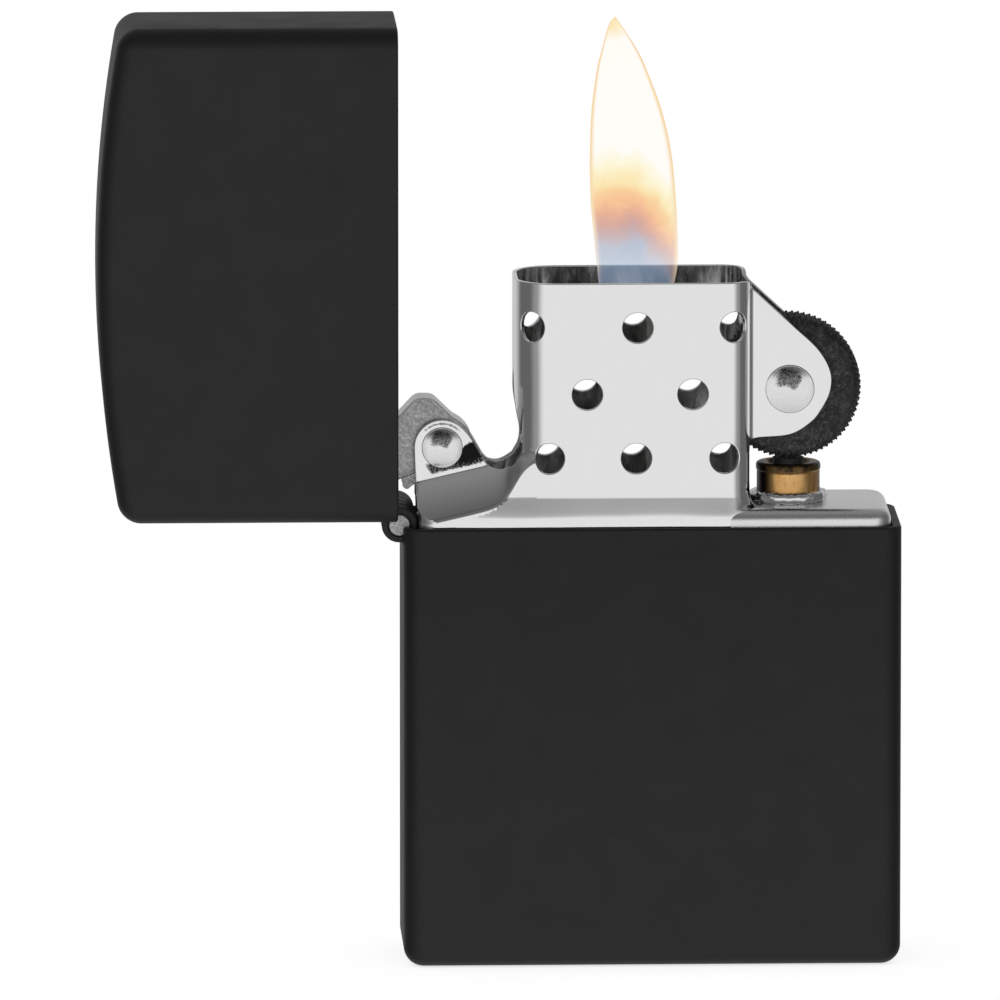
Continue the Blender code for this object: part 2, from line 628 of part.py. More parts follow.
def build():
    clear_scene()
    looks = make_materials()

    finish(make_case(), looks["black_coat"])
    finish(make_hinge_leaf("hinge_leaf_case", (0, 2, 4), -1, CASE_LEAF_LENGTH), looks["black_coat"])
    finish(make_hinge_pin(), looks["cam_steel"])

    lid = joint_empty("lid_axis", HINGE_X, HINGE_Z, turn_deg=-LID_OPEN_DEG)
    finish(make_lid(), looks["black_coat"], lid)
    finish(make_hinge_leaf("hinge_leaf_lid", (1, 3), 1, LID_LEAF_LENGTH), looks["black_coat"], lid)

    insert = joint_empty("insert_slide_axis", 0, 0)
    finish(make_insert_shell(), looks["polished_steel"], insert)
    finish(make_flint_tube(), looks["brass"], insert)
    axle_grip, cam_grip = 2 * WHEEL_EAR_FACE + 0.06, 2 * CAM_EAR_FACE + 0.06
    axle = domed_rivet(
        "wheel_axle_rivet", (WHEEL_X, 0, WHEEL_Z), AXLE_RADIUS, AXLE_HEAD_RADIUS, axle_grip,
        AXLE_HEAD_HEIGHT, 22
    )
    finish(axle, looks["polished_steel"], insert)
    cam_rivet = domed_rivet(
        "cam_rivet", (CAM_X, 0, CAM_Z), CAM_RIVET_RADIUS, CAM_HEAD_RADIUS, cam_grip, CAM_HEAD_HEIGHT, 20
    )
    finish(cam_rivet, looks["polished_steel"], insert)
    finish(make_cam_spring(), looks["spring_steel"], insert)
    for name, height in zip(("cam_spring_rivet_upper", "cam_spring_rivet_lower"), STRIP_RIVET_HEIGHTS):
        finish(make_strip_rivet(name, height), looks["polished_steel"], insert)
    finish(make_wick(), looks["cotton"], insert)
    for ball in make_packing():
        finish(ball, looks["cotton"], insert)
    finish(make_felt_pad(), looks["felt"], insert)

    finish(make_cam_lever(), looks["cam_steel"], joint_empty("cam_axis", CAM_X, CAM_Z, insert))
    finish(make_wheel(), looks["wheel_steel"], joint_empty("wheel_axis", WHEEL_X, WHEEL_Z, insert))

    feed = joint_empty("flint_feed_axis", WHEEL_X, FLINT_BOTTOM, insert)
    finish(make_flint(), looks["flint"], feed)
    finish(make_spring_tip(), looks["brass"], feed)

    travel = joint_empty("flint_screw_travel_axis", WHEEL_X, SPRING_BOTTOM, insert)
    finish(make_flint_spring(), looks["spring_steel"], travel)
    turn = joint_empty("flint_screw_turn_axis", WHEEL_X, SCREW_HEAD_BOTTOM, travel)
    finish(make_flint_screw(), looks["brass"], turn)


build()
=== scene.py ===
"""Looks of a windproof flip-top petrol lighter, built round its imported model.

The script's own sizes are in millimetres and become metres where a mesh is made. +Z is up, the front faces
-Y and the hinge is on the -X side. At rest the lid stands open to the left and the wick is lit.
"""

import math

import bmesh
import bpy
import numpy as np
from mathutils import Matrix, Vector, noise
from mathutils.geometry import delaunay_2d_cdt


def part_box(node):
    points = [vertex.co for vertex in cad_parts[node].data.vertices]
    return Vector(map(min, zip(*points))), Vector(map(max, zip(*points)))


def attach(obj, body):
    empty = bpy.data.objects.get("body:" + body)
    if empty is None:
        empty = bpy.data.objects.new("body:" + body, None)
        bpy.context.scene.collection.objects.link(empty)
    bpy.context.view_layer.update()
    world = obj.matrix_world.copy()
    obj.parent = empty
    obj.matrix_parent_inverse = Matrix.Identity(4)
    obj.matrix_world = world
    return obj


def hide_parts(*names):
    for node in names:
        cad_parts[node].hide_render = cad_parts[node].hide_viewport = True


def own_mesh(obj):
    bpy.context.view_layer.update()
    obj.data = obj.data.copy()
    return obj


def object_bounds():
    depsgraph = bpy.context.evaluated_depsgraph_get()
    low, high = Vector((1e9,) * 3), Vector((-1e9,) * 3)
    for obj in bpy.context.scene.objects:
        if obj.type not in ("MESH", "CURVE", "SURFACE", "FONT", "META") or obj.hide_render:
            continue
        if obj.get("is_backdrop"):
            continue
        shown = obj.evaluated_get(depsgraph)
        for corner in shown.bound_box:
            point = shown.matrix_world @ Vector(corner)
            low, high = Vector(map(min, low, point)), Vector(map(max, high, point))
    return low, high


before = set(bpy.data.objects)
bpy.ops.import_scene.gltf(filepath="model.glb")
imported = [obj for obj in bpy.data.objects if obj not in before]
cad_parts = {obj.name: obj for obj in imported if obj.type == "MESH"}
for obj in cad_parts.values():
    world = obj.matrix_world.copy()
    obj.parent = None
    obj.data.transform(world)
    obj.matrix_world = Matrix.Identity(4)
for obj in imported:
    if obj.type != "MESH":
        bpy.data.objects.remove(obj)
cad_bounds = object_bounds()

MM = 0.001


class Span:
    """A CAD node's box in millimetres."""

    def __init__(self, node):
        low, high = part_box(node)
        self.low, self.high = low / MM, high / MM
        self.mid = (self.low + self.high) / 2
        self.size = self.high - self.low


CASE, INSERT = Span("case_shell"), Span("insert_shell")
PIN, WHEEL, TUBE, WICK = Span("hinge_pin"), Span("flint_wheel"), Span("flint_tube"), Span("wick")
CAM_RIVET, CAM = Span("cam_rivet"), Span("cam_lever")

# Case, lid and hinge
HALF_WIDTH, HALF_DEPTH = CASE.size.x / 2, CASE.size.y / 2
CASE_TOP = CASE.high.z
MOUTH_GAP, WALL = 0.2, 0.65
CORNER_RADIUS, EDGE_RADIUS, RIM_RADIUS = 1.6, 1.5, 0.18
HINGE_X, HINGE_Z, PIN_RADIUS = PIN.mid.x, PIN.mid.z, PIN.size.x / 2
LID_TOP = HINGE_Z + HINGE_X - Span("lid_shell").low.x
CROWN_RISE = 1.8
KNUCKLE_RADIUS, KNUCKLES, KNUCKLE_GAP, BARREL_LENGTH = 1.35, 5, 0.1, 9.0
BARREL_CLEARANCE = 0.25
LEAF_NEAR, LEAF_FAR, LEAF_HALF_WIDTH = 0.97, 1.18, 4.5

# Insert
SHEET, CUT_EDGE = 0.34, 0.08
TANK_LEFT, TANK_RIGHT, TANK_HALF_DEPTH = INSERT.low.x, INSERT.high.x, 5.6
TANK_BOTTOM, SHOULDER, SHOULDER_RADIUS, TANK_CORNER = INSERT.low.z, 35.26, 0.9, 1.6
CHIMNEY_TOP, CHIMNEY_FACE = INSERT.high.z, 5.2
HOLE_RADIUS = 1.17
HOLE_ROWS = ((49.33, (-9.3, -1.15, 6.27)), (44.2, (-5.0, 3.07)), (39.26, (-7.9, -1.25, 5.52)))
WHEEL_EAR_FACE, CAM_EAR_FACE, CAM_EAR_RADIUS = 2.6, 2.25, 2.13
WHEEL_X, WHEEL_Z, WHEEL_RADIUS = WHEEL.mid.x, WHEEL.mid.z, WHEEL.size.z / 2
CAM_X, CAM_Z = CAM_RIVET.mid.x, CAM_RIVET.mid.z
TUBE_HEAD_RADIUS, TUBE_HEAD_BOTTOM, TUBE_RADIUS, TUBE_BORE = TUBE.size.x / 2, 35.36, 2.2, 1.45


# Small maths

def smooth_step(value, low, high):
    t = np.clip((value - low) / (high - low), 0, 1)
    return t * t * (3 - 2 * t)


def unit(vectors):
    return vectors / np.maximum(np.linalg.norm(vectors, axis=-1, keepdims=True), 1e-9)


def full_turn(steps):
    return [2 * math.pi * k / steps for k in range(steps)]


def arc(x, y, radius, start_deg, end_deg, steps):
    """Points on an arc, both ends included."""
    angles = np.radians(np.linspace(start_deg, end_deg, steps + 1))
    return [(x + radius * math.cos(a), y + radius * math.sin(a)) for a in angles]


def spline(points, step):
    """A Catmull-Rom curve through the points, sampled about every step."""
    p = [np.array(q, float) for q in points]
    p = [2 * p[0] - p[1]] + p + [2 * p[-1] - p[-2]]
    out = []
    for a, b, c, d in zip(p, p[1:], p[2:], p[3:]):
        count = max(1, round(float(np.linalg.norm(c - b)) / step))
        for k in range(count):
            t = k / count
            q = 2 * b + (c - a) * t + (2 * a - 5 * b + 4 * c - d) * t**2 + (3 * b - a - 3 * c + d) * t**3
            out.append(tuple(q / 2))
    return out + [tuple(p[-2])]


def line(start, end, step):
    """Points from start up to, but not including, end."""
    start, end = np.array(start, float), np.array(end, float)
    count = max(1, round(float(np.linalg.norm(end - start)) / step))
    return [tuple(start + (end - start) * k / count) for k in range(count)]


# Meshes

SHARP_DEG = 38.0  # edges that turn by more than this are drawn sharp


def plain_object(name, points, faces):
    """An object from points in millimetres."""
    mesh = bpy.data.meshes.new(name)
    mesh.from_pydata([tuple(float(c) * MM for c in p) for p in points], [], faces)
    mesh.update()
    obj = bpy.data.objects.new(name, mesh)
    bpy.context.scene.collection.objects.link(obj)
    return obj


def add_object(name, points, faces, material, body, sharp_deg=SHARP_DEG, normals=None):
    """A piece riding on a CAD body."""
    obj = plain_object(name, points, faces)
    mesh = obj.data
    mesh.materials.append(material)
    mesh.shade_smooth()
    if normals is not None:
        mesh.normals_split_custom_set_from_vertices([tuple(n) for n in normals])
    elif sharp_deg:
        mesh.set_sharp_from_angle(angle=math.radians(sharp_deg))
    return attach(obj, body)


def merged(*solids):
    """Several (points, faces) shapes as one."""
    points, faces = [], []
    for some_points, some_faces in solids:
        base = len(points)
        points += list(some_points)
        faces += [tuple(i + base for i in face) for face in some_faces]
    return points, faces


def tube_faces(rings, count, closed_tube=False):
    """Quads between successive rings of count points."""
    faces = []
    for r in range(rings if closed_tube else rings - 1):
        low, high = r * count, (r + 1) % rings * count
        for i in range(count):
            j = (i + 1) % count
            faces.append((low + i, low + j, high + j, high + i))
    return faces


def capped_tube(rings):
    """A closed solid over rings with equally many points, with a flat cap at each end."""
    count = len(rings[0])
    last = (len(rings) - 1) * count
    faces = tube_faces(len(rings), count)
    faces += [tuple(reversed(range(count))), tuple(range(last, last + count))]
    return [p for ring in rings for p in ring], faces


def turned(profile, centre, axis="Z", steps=64):
    """A solid of revolution. The profile's (radius, height) points run up its outside."""
    place = {
        "Z": lambda r, h, c, s: (centre[0] + r * c, centre[1] + r * s, centre[2] + h),
        "Y": lambda r, h, c, s: (centre[0] + r * s, centre[1] + h, centre[2] + r * c),
    }[axis]
    points, faces, rings = [], [], []
    for radius, height in profile:
        rings.append(len(points))
        if radius == 0:
            points.append(place(0, height, 1, 0))
        else:
            points += [place(radius, height, math.cos(a), math.sin(a)) for a in full_turn(steps)]
    pairs = list(zip(range(len(profile)), range(1, len(profile))))
    if profile[0][0] and profile[-1][0]:
        pairs.append((len(profile) - 1, 0))
    for low, high in pairs:
        a, b = rings[low], rings[high]
        for k in range(steps):
            n = (k + 1) % steps
            if profile[low][0] == 0:
                faces.append((a, b + n, b + k))
            elif profile[high][0] == 0:
                faces.append((a + k, a + n, b))
            else:
                faces.append((a + k, a + n, b + n, b + k))
    return points, faces


def rounded_profile(corners, radius, steps=3):
    """A lathe profile with rounded corners, given as (radius, height) or (radius, height, rounding)."""
    out = []
    for i, corner in enumerate(corners):
        here = np.array(corner[:2], float)
        size = corner[2] if len(corner) > 2 else radius
        if size == 0 or (i in (0, len(corners) - 1) and corners[0][0] == 0):
            out.append(tuple(here))
            continue
        before = np.array(corners[i - 1][:2], float) - here
        after = np.array(corners[(i + 1) % len(corners)][:2], float) - here
        a = here + before / np.linalg.norm(before) * size
        b = here + after / np.linalg.norm(after) * size
        for k in range(steps + 1):
            t = k / steps
            out.append(tuple((1 - t) ** 2 * a + 2 * t * (1 - t) * here + t**2 * b))
    return out


def outline(left, right, half_depth, corner, side_steps=1, corner_steps=12):
    """A rounded rectangle, listed so that point i and point -1-i mirror each other across Y = 0."""
    front = arc(left + corner, corner - half_depth, corner, 180, 270, corner_steps)
    end = arc(right - corner, corner - half_depth, corner, 270, 360, corner_steps)
    step = (end[0][0] - front[-1][0]) / side_steps
    front += [(front[-1][0] + step * k, -half_depth) for k in range(1, side_steps)]
    front += end
    return front + [(x, -y) for x, y in reversed(front)]


def drawn_cup(left, right, half_depth, corner, edge, mouth, end, wall, side_steps=12):
    """A deep-drawn cup of even wall with a rounded rim, open at the mouth's level and closed at its end."""
    up = 1 if end(0) > mouth else -1

    def ring(inset, height):
        round_corner = max(corner - inset, 0.08)
        shape = outline(left + inset, right - inset, half_depth - inset, round_corner, side_steps)
        return [(x, y, height(x)) for x, y in shape]

    def skin(inset):
        rings = []
        for a in np.linspace(0, math.pi / 2, 10):
            round_edge = edge - inset
            x_in = inset + round_edge * (1 - math.cos(a))
            drop = inset + round_edge * (1 - math.sin(a))
            rings.append(ring(x_in, lambda x, drop=drop: end(x) - up * drop))
        return rings

    rim = []
    for a in np.linspace(0, math.pi, 9):
        inset = wall / 2 - wall / 2 * math.cos(a)
        lift = RIM_RADIUS * (1 - math.sin(a))
        rim.append(ring(inset, lambda x, lift=lift: mouth + up * lift))
    rings = skin(wall)[::-1] + rim[::-1] + skin(0)
    count = len(rings[0])
    faces = tube_faces(len(rings), count)
    for first in (0, (len(rings) - 1) * count):
        for i in range(count // 2 - 1):
            faces.append((first + i, first + i + 1, first + count - 2 - i, first + count - 1 - i))
    points = [p for r in rings for p in r]
    return points, faces


def prism(shape, low, high, round_edge, steps=3):
    """A flat XZ shape, anticlockwise as seen from -Y, pushed along Y from low to high, its edges rounded."""
    shape = np.array(shape, float)
    ahead, behind = np.roll(shape, -1, 0) - shape, shape - np.roll(shape, 1, 0)
    tangent = unit(unit(ahead) + unit(behind))
    outward = np.column_stack([tangent[:, 1], -tangent[:, 0]])
    rings = []
    for a in np.linspace(0, math.pi / 2, steps + 1):
        rings.append((round_edge * (1 - math.sin(a)), low + round_edge * (1 - math.cos(a))))
    rings += [(inset, low + high - y) for inset, y in reversed(rings)]
    return capped_tube([[(x, y, z) for x, z in shape - outward * inset] for inset, y in rings])


def recalculated(obj):
    """Turns every face of a closed piece outwards."""
    work = bmesh.new()
    work.from_mesh(obj.data)
    bmesh.ops.recalc_face_normals(work, faces=work.faces)
    work.to_mesh(obj.data)
    work.free()
    return obj


def add_piece(name, solid, material, body, node=None, sharp_deg=SHARP_DEG):
    """A closed piece, shown in place of a CAD node. Its one slot holds the material of the given name."""
    obj = recalculated(add_object(name, *solid, MATERIALS[material], body, sharp_deg))
    if node:
        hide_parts(node)
    return obj


def cut(obj, points, faces):
    """Cuts a shape out of a piece."""
    tool = recalculated(plain_object("cutter", points, faces))
    step = obj.modifiers.new("cut", "BOOLEAN")
    step.operation, step.solver, step.object = "DIFFERENCE", "EXACT", tool
    depsgraph = bpy.context.evaluated_depsgraph_get()
    result = bpy.data.meshes.new_from_object(obj.evaluated_get(depsgraph))
    obj.modifiers.clear()
    obj.data = result
    bpy.data.objects.remove(tool)
    obj.data.shade_smooth()
    obj.data.set_sharp_from_angle(angle=math.radians(SHARP_DEG))


def block(low, high):
    """A box, used as a cutter."""
    points = [(x, y, z) for x in (low[0], high[0]) for y in (low[1], high[1]) for z in (low[2], high[2])]
    faces = [(0, 1, 3, 2), (4, 6, 7, 5), (0, 4, 5, 1), (2, 3, 7, 6), (0, 2, 6, 4), (1, 5, 7, 3)]
    return points, faces


# Materials

class Graph:
    """A short way to write a node tree."""

    def __init__(self, tree):
        self.tree = tree
        tree.nodes.clear()

    def add(self, kind, inputs=(), **settings):
        node = self.tree.nodes.new(kind)
        for key, value in settings.items():
            setattr(node, key, value)
        for key, value in dict(inputs).items():
            if isinstance(value, bpy.types.NodeSocket):
                self.tree.links.new(value, node.inputs[key])
            else:
                node.inputs[key].default_value = value
        return node

    def maths(self, operation, a, b=0.0):
        return self.add("ShaderNodeMath", {0: a, 1: b}, operation=operation).outputs[0]

    def ramp(self, value, stops, interpolation="LINEAR"):
        """A colour ramp; a stop is (place, grey) or (place, (r, g, b))."""
        node = self.add("ShaderNodeValToRGB", {"Fac": value})
        node.color_ramp.interpolation = interpolation
        items = node.color_ramp.elements
        while len(items) < len(stops):
            items.new(1.0)
        for item, (place, colour) in zip(items, stops):
            item.position = place
            item.color = (*colour, 1) if isinstance(colour, tuple) else (colour, colour, colour, 1)
        return node.outputs["Color"]

    def split(self, vector):
        return self.add("ShaderNodeSeparateXYZ", {0: vector}).outputs

    def normal(self):
        return self.split(self.add("ShaderNodeNewGeometry").outputs["Normal"])

    def range(self, value, low, high, to_low=0.0, to_high=1.0):
        node = self.add("ShaderNodeMapRange", {0: value, 1: low, 2: high, 3: to_low, 4: to_high})
        return node.outputs[0]

    def mix(self, factor, a, b):
        node = self.add("ShaderNodeMix", data_type="RGBA")
        for socket, value in zip([node.inputs[0], node.inputs[6], node.inputs[7]], (factor, a, b)):
            if isinstance(value, bpy.types.NodeSocket):
                self.tree.links.new(value, socket)
            elif isinstance(value, tuple):
                socket.default_value = (*value, 1)
            else:
                socket.default_value = value
        return node.outputs[2]

    def millimetres(self, stretch=(1, 1, 1)):
        """The piece's own coordinates in millimetres, so that a pattern moves with the piece."""
        place = self.add("ShaderNodeTexCoord").outputs["Object"]
        scale = tuple(s / MM for s in stretch)
        return self.add("ShaderNodeMapping", {"Vector": place, "Scale": scale}).outputs[0]

    def noise(self, place, scale, detail=2.0, roughness=0.5, distortion=0.0):
        values = {"Vector": place, "Scale": scale, "Detail": detail, "Roughness": roughness}
        values["Distortion"] = distortion
        return self.add("ShaderNodeTexNoise", values).outputs["Fac"]

    def bump(self, height, strength, distance_mm):
        values = {"Height": height, "Strength": strength, "Distance": distance_mm * MM}
        return self.add("ShaderNodeBump", values).outputs[0]


def new_graph(data):
    """The emptied node tree of a new material or world."""
    data.use_nodes = True
    return Graph(data.node_tree)


def new_material(name, build, preview):
    """A material whose graph ends in a Principled BSDF. build(graph) returns the values of its inputs."""
    material = bpy.data.materials.new(name)
    material.diffuse_color = (*preview, 1)
    graph = new_graph(material)
    shader = graph.add("ShaderNodeBsdfPrincipled", build(graph))
    graph.add("ShaderNodeOutputMaterial", {"Surface": shader.outputs[0]})
    return material


def surface(colour, roughness, normal, metallic=1.0, **others):
    """Inputs of a Principled BSDF, by name. The others' names have _ for each space."""
    values = {"Base Color": colour, "Metallic": metallic, "Roughness": roughness, "Normal": normal}
    return values | {name.replace("_", " "): value for name, value in others.items()}


def black_coat(g):
    """Matt powder coat: a very fine grain over a faint, wider mottle."""
    place = g.millimetres()
    grain = g.noise(place, 9.0, 3.0, 0.6)
    mottle = g.noise(place, 0.35, 2.0)
    colour = g.ramp(grain, [(0.3, (0.014, 0.014, 0.0145)), (0.7, (0.022, 0.022, 0.0227))])
    roughness = g.range(mottle, 0.3, 0.7, 0.50, 0.56)
    return surface(colour, roughness, g.bump(grain, 0.35, 0.02), metallic=0.0, Specular_IOR_Level=0.42)


def with_painted_shade(g, place, base_colour, shade_strength=1.0):
    """The base colour, speckled with black as painted shade and painted dark reflection, where the mesh's
    attribute asks for it.
    """
    amount = g.add("ShaderNodeAttribute", attribute_name="painted_shade").outputs["Fac"]
    speckle = g.noise(place, 7.0, 4.0, 0.8)
    shade_level = g.maths("ADD", g.maths("MULTIPLY", amount, 0.75), g.maths("MULTIPLY", speckle, 0.5))
    share = g.ramp(shade_level, [(0.5, 0.0), (0.72, shade_strength), (0.98, shade_strength)])
    return g.mix(share, base_colour, (0.012, 0.012, 0.012))


def polished_steel(g):
    place = g.millimetres()
    grain = g.noise(g.millimetres((3, 3, 0.5)), 1.0, 3.0, 0.6)
    speckle = g.noise(place, 6.0, 3.0, 0.7)
    wave = g.noise(place, 0.13, 1.0)
    base_colour = g.ramp(grain, [(0.3, (0.963, 0.963, 0.966)), (0.7, (0.972, 0.972, 0.976))])
    x, _, z = g.split(place)
    normal = g.normal()
    drawn = g.maths("MULTIPLY", g.range(normal[0], -0.15, -0.45), g.range(z, 39.8, 39.2))
    rough = g.maths("ADD", g.range(speckle, 0.3, 0.75, 0.05, 0.10), g.maths("MULTIPLY", drawn, 0.26))
    # painted shade: the cam ears' skirts, which face up, are made darker towards their slanting foot
    above_foot = g.maths("ADD", z, g.maths("MULTIPLY", x, -0.22))
    skirt_painted_shade = g.maths("MULTIPLY", g.range(above_foot, 40.6, 38.3), g.range(normal[2], 0.45, 0.62))
    base_colour = g.mix(g.maths("MULTIPLY", skirt_painted_shade, g.range(x, -9.5, -10.5)), base_colour, (0.47, 0.47, 0.47))
    # the colour is speckled with painted shade where the mesh asks for it
    return surface(with_painted_shade(g, place, base_colour), rough, g.bump(wave, 1.0, 0.16))


def sooted_steel(g):
    """The same sheet inside the chimney, smoked dark by the flame, with painted highlights that make it
    lighter towards its corners.
    """
    streak = g.noise(g.millimetres((1, 1, 0.35)), 1.6, 4.0, 0.65, 0.3)
    x = g.split(g.millimetres())[0]
    # painted highlights: the wall is made lighter towards the chimney's rounded ends
    corner = g.range(g.maths("ABSOLUTE", g.maths("ADD", x, 1.6)), 5.2, 8.2)
    dark = g.ramp(streak, [(0.3, 0.26), (0.5, 0.46), (0.72, 0.75)])
    corner_painted_highlight = g.ramp(streak, [(0.35, 0.5), (0.6, 0.97)])
    return surface(
        g.mix(corner, dark, corner_painted_highlight),
        g.range(streak, 0.3, 0.7, 0.12, 0.28),
        g.bump(streak, 0.3, 0.03),
    )


def satin_steel(g):
    """The tank's drawn metal, less bright than the rolled sheet."""
    place = g.millimetres()
    speckle = g.noise(place, 5.0, 4.0, 0.7)
    return surface(
        g.ramp(speckle, [(0.3, (0.9, 0.9, 0.905)), (0.7, (0.97, 0.97, 0.975))]),
        g.range(speckle, 0.3, 0.75, 0.24, 0.34),
        g.bump(g.noise(place, 0.5, 1.0), 0.2, 0.03),
    )


def stamped_steel(g):
    """Bright steel with the fine dimpled skin that stamping leaves."""
    place = g.millimetres()
    dimple = g.noise(place, 5.0, 4.0, 0.75)
    base_colour = g.ramp(dimple, [(0.35, (0.88, 0.88, 0.89)), (0.65, (0.97, 0.97, 0.975))])
    # the colour is speckled with painted shade where the mesh asks for it
    return surface(
        with_painted_shade(g, place, base_colour, 0.94),
        g.range(dimple, 0.3, 0.7, 0.1, 0.2),
        g.bump(dimple, 0.5, 0.012),
    )


def cam_steel(g):
    """Grey case-hardened steel with a fine mottled skin, and painted light that makes its up-facing faces
    near white.
    """
    place = g.millimetres()
    mottle = g.noise(place, 5.0, 6.0, 0.8)
    fleck = g.noise(place, 12.0, 2.0, 0.6)
    colour = g.ramp(mottle, [(0.34, 0.24), (0.5, 0.42), (0.66, 0.75)])
    # painted light: faces that point up are made near white
    colour = g.mix(g.range(g.normal()[2], 0.4, 0.7), colour, (0.97, 0.97, 0.97))
    return surface(colour, g.range(fleck, 0.3, 0.7, 0.3, 0.45), g.bump(mottle, 0.6, 0.03), metallic=0.85)


def wheel_steel(g):
    """Blackened hard steel with a dusty, scuffed face."""
    place = g.millimetres()
    mottle = g.noise(place, 1.2, 8.0, 0.8, 0.6)
    scuff = g.noise(place, 3.0, 6.0, 0.85, 1.0)
    black, grey = (0.014, 0.014, 0.015), (0.04, 0.04, 0.041)
    colour = g.ramp(mottle, [(0.36, black), (0.52, grey), (0.66, 0.13)])
    colour = g.mix(g.range(scuff, 0.52, 0.68, 0.0, 0.85), colour, (0.3, 0.3, 0.3))
    return surface(
        colour,
        g.range(scuff, 0.3, 0.7, 0.4, 0.66),
        g.bump(g.maths("ADD", mottle, scuff), 0.9, 0.07),
        metallic=0.3,
    )


def brass(g):
    """Yellow brass with drawn marks, darker along its lip, and with painted shade down its side next to the
    flame and down its far edge.
    """
    streak = g.noise(g.millimetres((1, 1, 0.12)), 5.0, 3.0, 0.6)
    patch = g.noise(g.millimetres(), 1.2, 4.0, 0.7)
    x, _, z = g.split(g.millimetres())
    # painted shade: dark down the side towards the chimney and down the far right edge
    left = g.range(x, WHEEL_X - 0.45 * TUBE_HEAD_RADIUS, WHEEL_X - 0.75 * TUBE_HEAD_RADIUS)
    right = g.range(x, WHEEL_X + 0.82 * TUBE_HEAD_RADIUS, WHEEL_X + 0.96 * TUBE_HEAD_RADIUS)
    # darker along the lip
    lip = g.range(z, TUBE.high.z - 0.62, TUBE.high.z - 0.5)
    lip = g.maths("MULTIPLY", lip, g.range(patch, 0.3, 0.6, 0.75, 1.0))
    painted_shade_and_dark_lip = g.maths("MAXIMUM", g.maths("MAXIMUM", left, right), lip)
    base_colour = g.ramp(streak, [(0.3, (0.74, 0.38, 0.11)), (0.7, (1.0, 0.64, 0.28))])
    worn = g.mix(g.range(patch, 0.5, 0.75, 0.0, 0.7), base_colour, (0.42, 0.22, 0.07))
    return surface(
        g.mix(painted_shade_and_dark_lip, worn, (0.04, 0.027, 0.017)),
        g.range(streak, 0.3, 0.7, 0.28, 0.42),
        g.bump(streak, 0.3, 0.02),
    )


def spring_steel(g):
    """Grey spring strip and wire with drawing marks."""
    streak = g.noise(g.millimetres((4, 4, 0.5)), 1.5, 3.0)
    return surface(
        g.ramp(streak, [(0.3, 0.45), (0.7, 0.65)]),
        g.range(streak, 0.3, 0.7, 0.25, 0.4),
        g.bump(streak, 0.2, 0.01),
    )


def flint_alloy(g):
    """Dull dark ferrocerium, pitted."""
    pits = g.noise(g.millimetres(), 3.0, 5.0, 0.7)
    return surface(
        g.ramp(pits, [(0.35, 0.02), (0.7, 0.07)]),
        g.range(pits, 0.3, 0.7, 0.5, 0.7),
        g.bump(pits, 0.6, 0.04),
        metallic=0.7,
    )


def cotton(g):
    """Off-white cotton with fine fibres."""
    fibre = g.noise(g.millimetres((1, 1, 0.3)), 6.0, 5.0, 0.75, 0.6)
    return surface(
        g.ramp(fibre, [(0.3, (0.62, 0.59, 0.53)), (0.7, (0.86, 0.84, 0.79))]),
        0.95,
        g.bump(fibre, 0.8, 0.08),
        metallic=0.0, Sheen_Weight=0.3,
    )


def felt(g):
    """Grey-white pressed felt."""
    fibre = g.noise(g.millimetres(), 4.0, 6.0, 0.8, 1.2)
    return surface(
        g.ramp(fibre, [(0.3, (0.45, 0.44, 0.42)), (0.7, (0.72, 0.71, 0.68))]),
        1.0,
        g.bump(fibre, 1.0, 0.12),
        metallic=0.0, Sheen_Weight=0.5,
    )


# Each finish: its graph and its plain preview colour
FINISHES = {
    "black_coat": (black_coat, (0.02, 0.02, 0.022)),
    "polished_steel": (polished_steel, (0.8, 0.8, 0.81)),
    "sooted_steel": (sooted_steel, (0.2, 0.2, 0.2)),
    "satin_steel": (satin_steel, (0.75, 0.75, 0.76)),
    "stamped_steel": (stamped_steel, (0.78, 0.78, 0.79)),
    "cam_steel": (cam_steel, (0.45, 0.45, 0.45)),
    "wheel_steel": (wheel_steel, (0.04, 0.04, 0.04)),
    "brass": (brass, (0.75, 0.5, 0.2)),
    "spring_steel": (spring_steel, (0.5, 0.5, 0.5)),
    "flint": (flint_alloy, (0.1, 0.1, 0.1)),
    "cotton": (cotton, (0.8, 0.78, 0.72)),
    "felt": (felt, (0.6, 0.59, 0.57)),
}
MATERIALS = {name: new_material(name, *finish) for name, finish in FINISHES.items()}


# Case and lid

def crown(x):
    """Height of the shut lid's crowned top."""
    return LID_TOP - CROWN_RISE * (x / HALF_WIDTH) ** 2


def barrel_notch(direction):
    """Room in a narrow wall for the hinge barrel, below (-1) or above (1) the axis."""
    reach = KNUCKLE_RADIUS + BARREL_CLEARANCE
    low, high = sorted((HINGE_Z + direction * reach, HINGE_Z - direction * 2))
    half_width = BARREL_LENGTH / 2 + BARREL_CLEARANCE
    return block((HINGE_X - 2, -half_width, low), (WALL + 0.3 - HALF_WIDTH, half_width, high))


def opened(points):
    """Points of the shut lid, swung open about the hinge."""
    return [(HINGE_X - (z - HINGE_Z), y, HINGE_Z + (x - HINGE_X)) for x, y, z in points]


def shell(mouth, end, side_steps):
    return drawn_cup(
        -HALF_WIDTH, HALF_WIDTH, HALF_DEPTH, CORNER_RADIUS, EDGE_RADIUS, mouth, end, WALL, side_steps
    )


def make_case():
    case = add_piece("bottom_case", shell(CASE_TOP, lambda x: 0.0, 12), "black_coat", "case", "case_shell")
    cut(case, *barrel_notch(-1))


def make_lid():
    points, faces = shell(CASE_TOP + MOUTH_GAP, crown, 28)
    notch, notch_faces = barrel_notch(1)
    lid = add_piece("lid_cover", (opened(points), faces), "black_coat", "lid", "lid_shell")
    cut(lid, opened(notch), notch_faces)
    lid.visible_glossy = False


# Hinge

